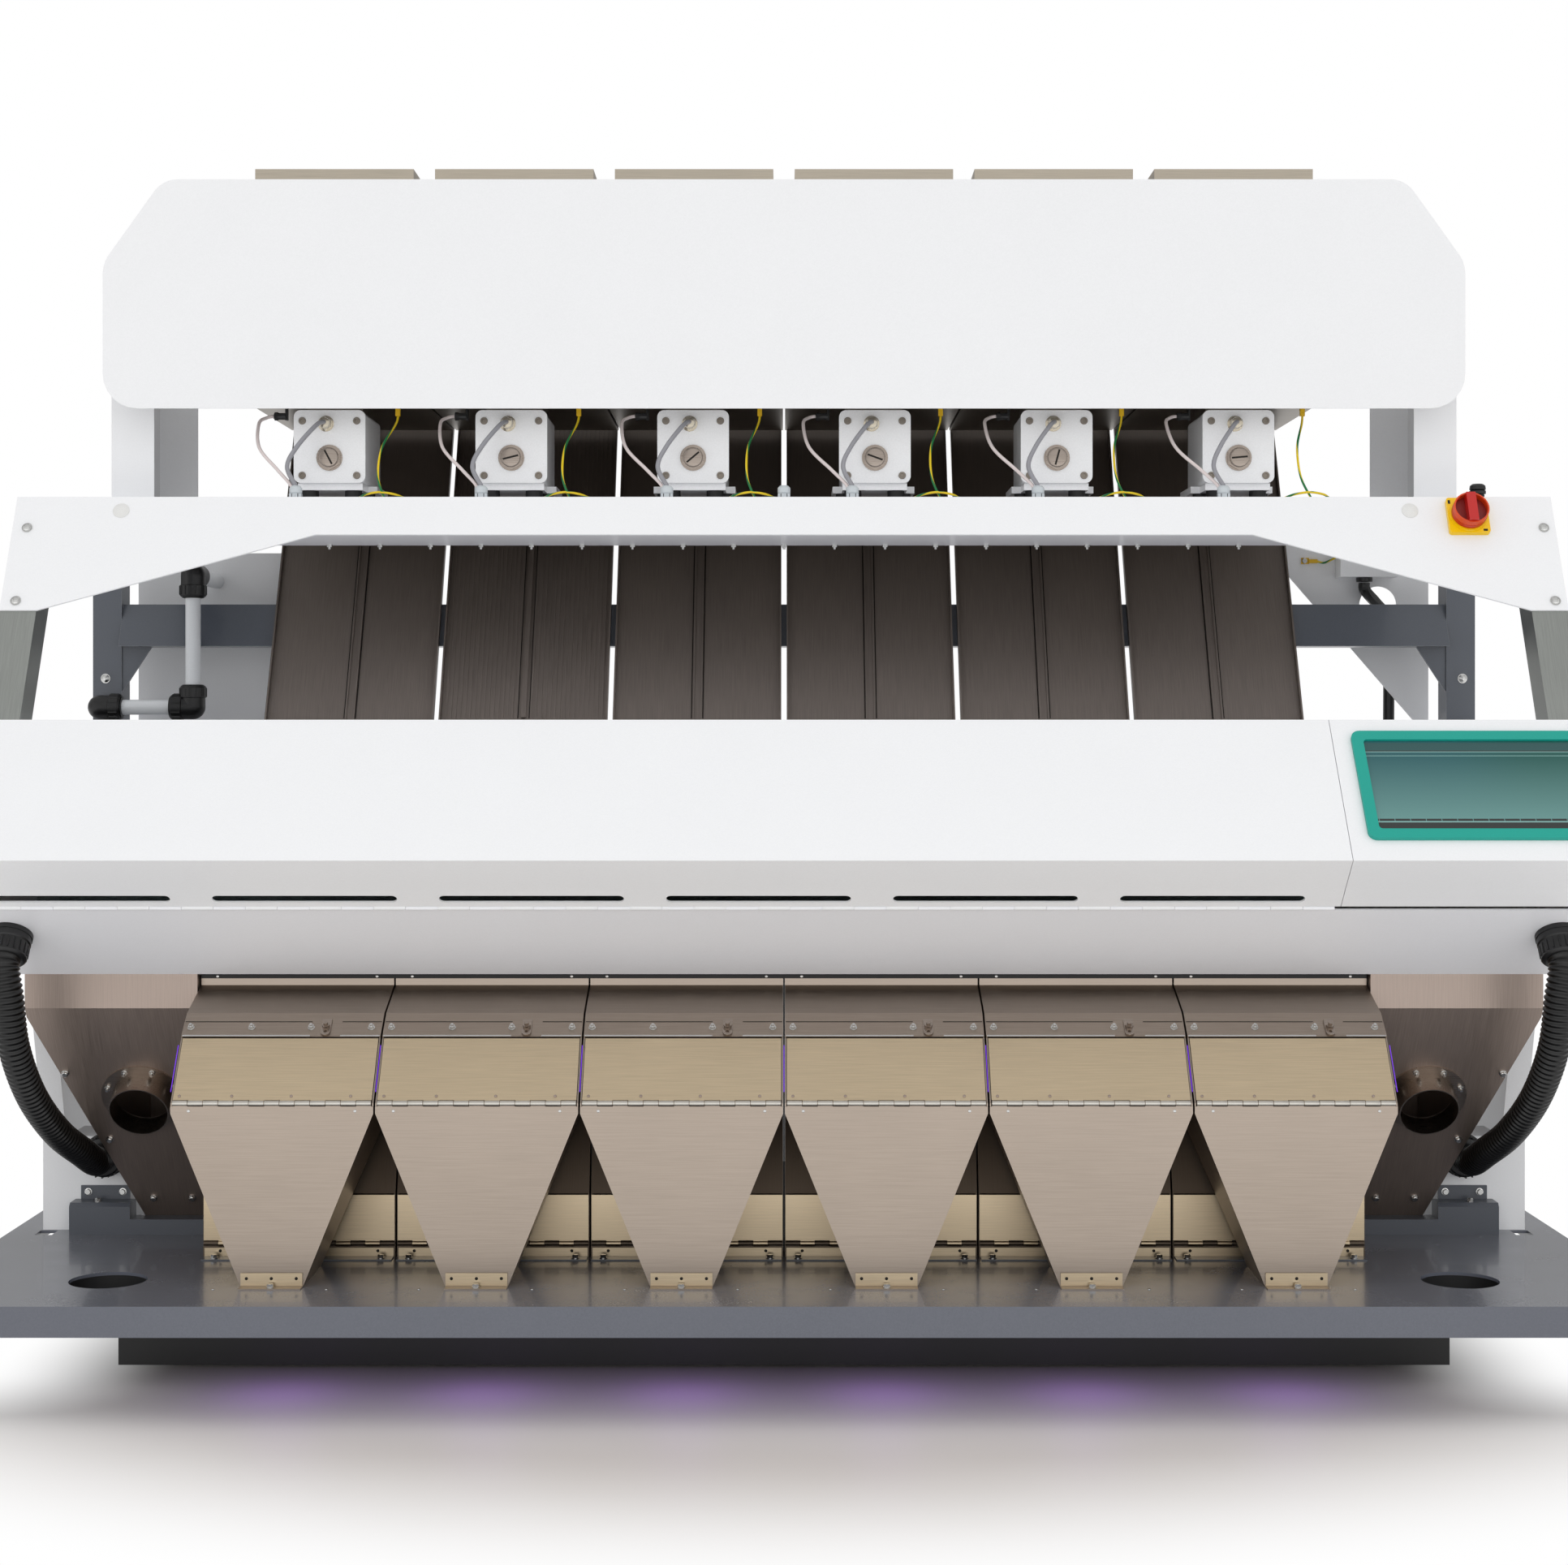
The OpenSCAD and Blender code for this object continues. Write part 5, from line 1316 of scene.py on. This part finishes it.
@dataclass
class FrontBeam:
    """Bolts, blind plugs and switch details of the front beam, in millimetres.

    Attributes:
        edge: Upper edge of its outer face, in depth and height.
        knob: Place of the main switch: distance to the right, and down the face.
        plate: Height of the switch plate's top out of the face.
        disc: Height of the knob's disc out of the face.
        cup: Height of the wall round the disc.
    """

    edge: tuple[float, float] = (-133.0, BEAM_TOP)
    knob: tuple[float, float] = (1164.0, 42.0)
    plate: float = 9.0
    disc: float = 22.4
    cup: float = 10.4

    def spot(self, x: float, down: float) -> np.ndarray:
        """Place on the beam's outer face.

        Args:
            x: Distance from the middle.
            down: Distance down the face.

        Returns:
            The place.
        """
        return np.array([x, *self.edge]) - down * SLOPE_UP

    def build(self) -> None:
        """Makes the pieces."""
        corners = [self.spot(x, down) for x in (-1287, 1292) for down in (62, 205)]
        put("beam_bolts", Head.DOME.at(corners, SLOPE_OUT, 24), BRIGHT)
        plugs = [self.spot(x, 28) for x in (-1131, 1068)]
        put("beam_plugs", Head.PLUG.at(plugs, SLOPE_OUT, 32), WHITE_PLASTIC)
        x = -814.4 + 90.5 * np.arange(19)
        studs = np.column_stack([x, np.full(len(x), 72.0), np.full(len(x), 1389.0)])
        put("shelf_studs", Head.STUD.at(studs, (0, 0, -1)), BRIGHT)
        self.switch()

    def switch(self) -> None:
        """Cup of the knob with its orange rim and dark dish, whose darker red is partly its own colour and
        partly painted shade in the cup, and the plate's dark marks.
        """
        middle = self.spot(*self.knob)
        rim = collar([(27.4, 0.0, 0), (29.8, 0.0, 0), (29.8, 1.6, 0), (27.4, 1.6, 0)], 48)
        wall = collar([(27.2, 0.0, 0), (29.6, 0.0, 0), (29.6, self.cup, 0), (27.2, self.cup, 0)], 48)
        dish = turned([(27.0, 0.0, 0), (27.0, 0.4, 0)], 48)
        pieces = (("switch_rim", rim, self.disc + self.cup, ORANGE), ("switch_cup", wall, self.disc, ORANGE),
                  ("switch_dish", dish, self.disc, DISH))
        for name, shape, height, finish in pieces:
            made = shape.placed((middle + SLOPE_OUT * height) * MM, SLOPE_OUT)
            put(name, made, finish, body="knob")
        corners = ((7, 4, 26, 29.5), (4, 7, -30, -26))
        marks = [lying(width, height, 0.4, self.spot(self.knob[0] + x, self.knob[1] + down)
                       + SLOPE_OUT * self.plate, SLOPE_OUT) for width, height, x, down in corners]
        put("switch_marks", joined(*marks), INK)


@dataclass
class Feeders:
    """Fasteners, glands and plugs of the six vibrating feeders, in millimetres.

    Attributes:
        face: Depth of the drives' front faces.
        gland: A drive's gland: distance from the lane's middle, and height.
        plug: Height of a drive's plug.
        glands: Depth of the row of glands on the beam.
        turns: Angle of each plug's slot in degrees.
    """

    face: float = -9.0
    gland: tuple[float, float] = (-6.0, 1596.0)
    plug: float = 1536.0
    glands: float = -100.0
    turns: tuple[float, ...] = (-62, 14, 40, -20, 75, 5)

    def build(self) -> None:
        """Makes the pieces of all the lanes."""
        self.drives()
        self.beam_glands()
        self.tray_ends()

    def drives(self) -> None:
        """Screws, gland and slotted plug on the front of each drive."""
        screws = [Head.CAP.at(per_lane([-48, 48], self.face, z), FORWARD) for z in (1601, 1505)]
        put("drive_screws", joined(*screws), TRAY_STEEL)
        rows = [(14.0, 0.0, 0), (14.0, 1.5, 0), (13.4, 1.6, 1), (13.4, 8.0, 1), (10.6, 8.2, 0),
                (11.6, 9.0, 1), (11.6, 14.0, 1), (9.0, 20.6, 0), (4.6, 21.4, 0)]
        spots = per_lane([self.gland[0]], self.face, self.gland[1])
        put("drive_glands", turned_at(rows, spots, FORWARD), NICKEL)
        rows = [(23.0, 0.0, 0), (23.0, 2.0, 0), (22.4, 2.2, 1), (22.4, 6.8, 1), (17.6, 7.2, 0),
                (17.6, 10.4, 0), (16.8, 11.0, 0), (16.0, 12.6, 0), (14.6, 13.2, 0)]
        spots = per_lane([0], self.face, self.plug)
        put("drive_plugs", turned_at(rows, spots, FORWARD), SPIGOT_STEEL)
        cut = lying(28, 3.2, 0.5, (0, 0, 0), UPWARD)
        spots = per_lane([0], self.face - 13.1, self.plug) * MM
        cuts = [cut.placed(spot, FORWARD, math.radians(turn)) for spot, turn in zip(spots, self.turns)]
        put("plug_slots", joined(*cuts), SOCKET)

    def beam_glands(self) -> None:
        """Grey glands of the feeder leads with one more in the middle, and the black gland by the switch."""
        rows = [(12.2, 0.0, 1), (12.2, 8.6, 1), (9.8, 9.0, 0), (11.0, 9.6, 0), (11.0, 18.0, 0),
                (7.4, 22.0, 0), (5.2, 22.6, 0)]
        spots = np.concatenate([per_lane([-42], self.glands, BEAM_TOP), [[0.0, self.glands, BEAM_TOP]]])
        put("shelf_glands", turned_at(rows, spots, UPWARD), GREY_PLASTIC)
        rows = [(12.0, 0.0, 1), (12.0, 6.0, 1), (10.0, 6.4, 0), (14.0, 8.0, 0), (14.0, 13.0, 0),
                (12.0, 14.0, 0), (14.0, 15.5, 0), (13.0, 22.0, 0), (9.0, 25.0, 0)]
        black = turned_at(rows, (1196.0, self.glands, BEAM_TOP), UPWARD)
        put("beam_gland", black, BLACK_PLASTIC)

    def tray_ends(self) -> None:
        """Sensor plug with its holder, and earth crimp with its tab, below the front of each tray."""
        rows = [(5.0, 0.0, 0), (6.0, 0.6, 0), (6.0, 14.0, 0), (7.4, 15.0, 1), (7.4, 21.0, 1), (4.0, 22.0, 0)]
        for lane, x in enumerate(LANES_MM, 1):
            plug = joined(turned_at(rows, (x - 82, 24.0, 1613.0), (-1, 0, 0)),
                          bar((x - 84, 21, 1606), (x - 80, 32, 1640.7)))
            crimp = joined(bar((x + 113, 11, 1612), (x + 121, 18, 1627)),
                           bar((x + 113, 17.6, 1622), (x + 121, 19.9, 1655)))
            for name, shape, finish in (("sensor_plug", plug, BLACK_PLASTIC), ("earth_crimp", crimp, CRIMP)):
                put(f"{name}_{lane}", shape, finish, body=f"tray_{lane}_body")


@dataclass
class RearSide:
    """Air line nuts, frame bolts, the earth lead of the gusset and the middle lines of the chutes.

    Attributes:
        ends: Ends of the air line's fittings in millimetres, and the directions out of them.
        chute: Lower end of the grooved chute's middle line, in millimetres.
        length: Length of the chutes' middle lines.
    """

    ends: tuple[tuple[Point, Point], ...] = (
        ((-1100, 250, 1117), (0, 0, 1)), ((-1118, 250, 1099.5), (-1, 0, 0)),
        ((-1100, 250, 1327), (0, 0, -1)), ((-1255, 250, 1099.5), (1, 0, 0)))
    chute: Point = (-480.0, 201.0, 1078.0)
    length: float = 690.0

    def build(self) -> None:
        """Makes the pieces behind the front beam."""
        self.air_line()
        bolts = Head.DOME.at(two_sided([(1276, 300, 1154)]), FORWARD, 24)
        put("post_bolts", bolts, BRIGHT)
        self.gusset()
        self.chute_lines()

    def air_line(self) -> None:
        """Nuts of the air line's fittings, with ribs round them."""
        nut = turned([(22.8, 0.0, 0), (24.6, 1.0, 0), (24.6, 19.0, 0), (23.0, 21.0, 0), (19.6, 21.2, 0),
                      (20.4, 24.0, 0), (17.0, 24.6, 0)], 32)
        angle = np.arange(16) * 2 * np.pi / 16
        circle = 24.5 * np.column_stack([np.cos(angle), np.sin(angle), np.zeros(len(angle))])
        ribs = bar((-1.1, -1.1, 2), (1.1, 1.1, 18)).repeated(circle * MM)
        for name, shape in (("pipe_nuts", nut), ("nut_ribs", ribs)):
            copies = [shape.placed(np.array(place) * MM, np.array(out, float)) for place, out in self.ends]
            put(name, joined(*copies), BLACK_PLASTIC)

    def gusset(self) -> None:
        """Earth bolt, crimp and lead on the right gusset."""
        put("gusset_bolt", Head.HEX.at([(1009, 449, 1385)], FORWARD), BRIGHT)
        crimp = joined(bar((1003, 447.4, 1379), (1018, 449, 1391)),
                       bar((1017, 444, 1380.5), (1034, 449, 1388)))
        put("gusset_crimp", crimp, CRIMP)
        points = [(1033, 446.5, 1384), (1046, 444, 1381), (1058, 434, 1386), (1068.6, 425, 1392)]
        line = spaced(curve_through((np.array(points) * MM).tolist(), 10), 24)
        lead = Leads().lead("gusset_lead", line, 0.004, EARTH)

    def chute_lines(self) -> None:
        """Rib of the grooved chute, and a dark line on each side of every chute's rib."""
        middle = np.array(self.chute) + SLOPE_OUT * 1.5 + SLOPE_UP * self.length / 2
        put("grooved_chute_rib", lying(9, self.length, 4, middle, SLOPE_OUT), CHUTE)
        line = lying(1.6, self.length, 0.3, middle, SLOPE_OUT)
        across = (LANES_MM[:, None] - self.chute[0] + np.array([-10.5, 10.5])).ravel()
        put("chute_rib_shadows", line.repeated(along_x(across)), SOCKET)


@dataclass
class Housing:
    """Catches seen in three of the cover's hand slots, and the dark seals between the hoppers.

    Attributes:
        catches: Distances of the catches from the middle, in millimetres.
        level: Height of the catches.
    """

    catches: tuple[float, ...] = (-1150.0, -160.0, 672.0)
    level: float = 800.0

    def build(self) -> None:
        """Makes the pieces."""
        bars = [bar((x + left, -486, self.level - half), (x + right, -480, self.level + half))
                for left, right, half in ((-24, 24, 3), (40, 52, 2)) for x in self.catches]
        put("slot_catches", joined(*bars), BRIGHT)
        seal = bar((-1.3, -250, BASE_TOP + 2), (1.3, -200, 654))
        put("hopper_seals", seal.repeated(along_x(SEAMS)), BLACK_RUBBER)


def dress_nodes() -> None:
    """Gives every part of the frame its finish."""
    lanes = range(1, len(LANES) + 1)
    in_lanes = {f"{name}_{lane}": finish for name, finish in LANE_FINISH.items() for lane in lanes}
    for name, finish in (NODE_FINISH | in_lanes).items():
        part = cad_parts[name]
        part.data.materials.clear()
        part.data.materials.append(finish.material())
        LOG.info("%s: %s", name, finish.name)


def main() -> None:
    """Builds the studio, the pieces and the finishes."""
    logging.basicConfig(level=logging.INFO, format="%(name)s %(message)s")
    Studio().build()
    Hoses().build()
    Leads().build()
    CollectingHoppers().build()
    EndPlates().build()
    FrontBeam().build()
    Feeders().build()
    RearSide().build()
    Housing().build()
    dress_nodes()


if __name__ == "__main__":
    main()
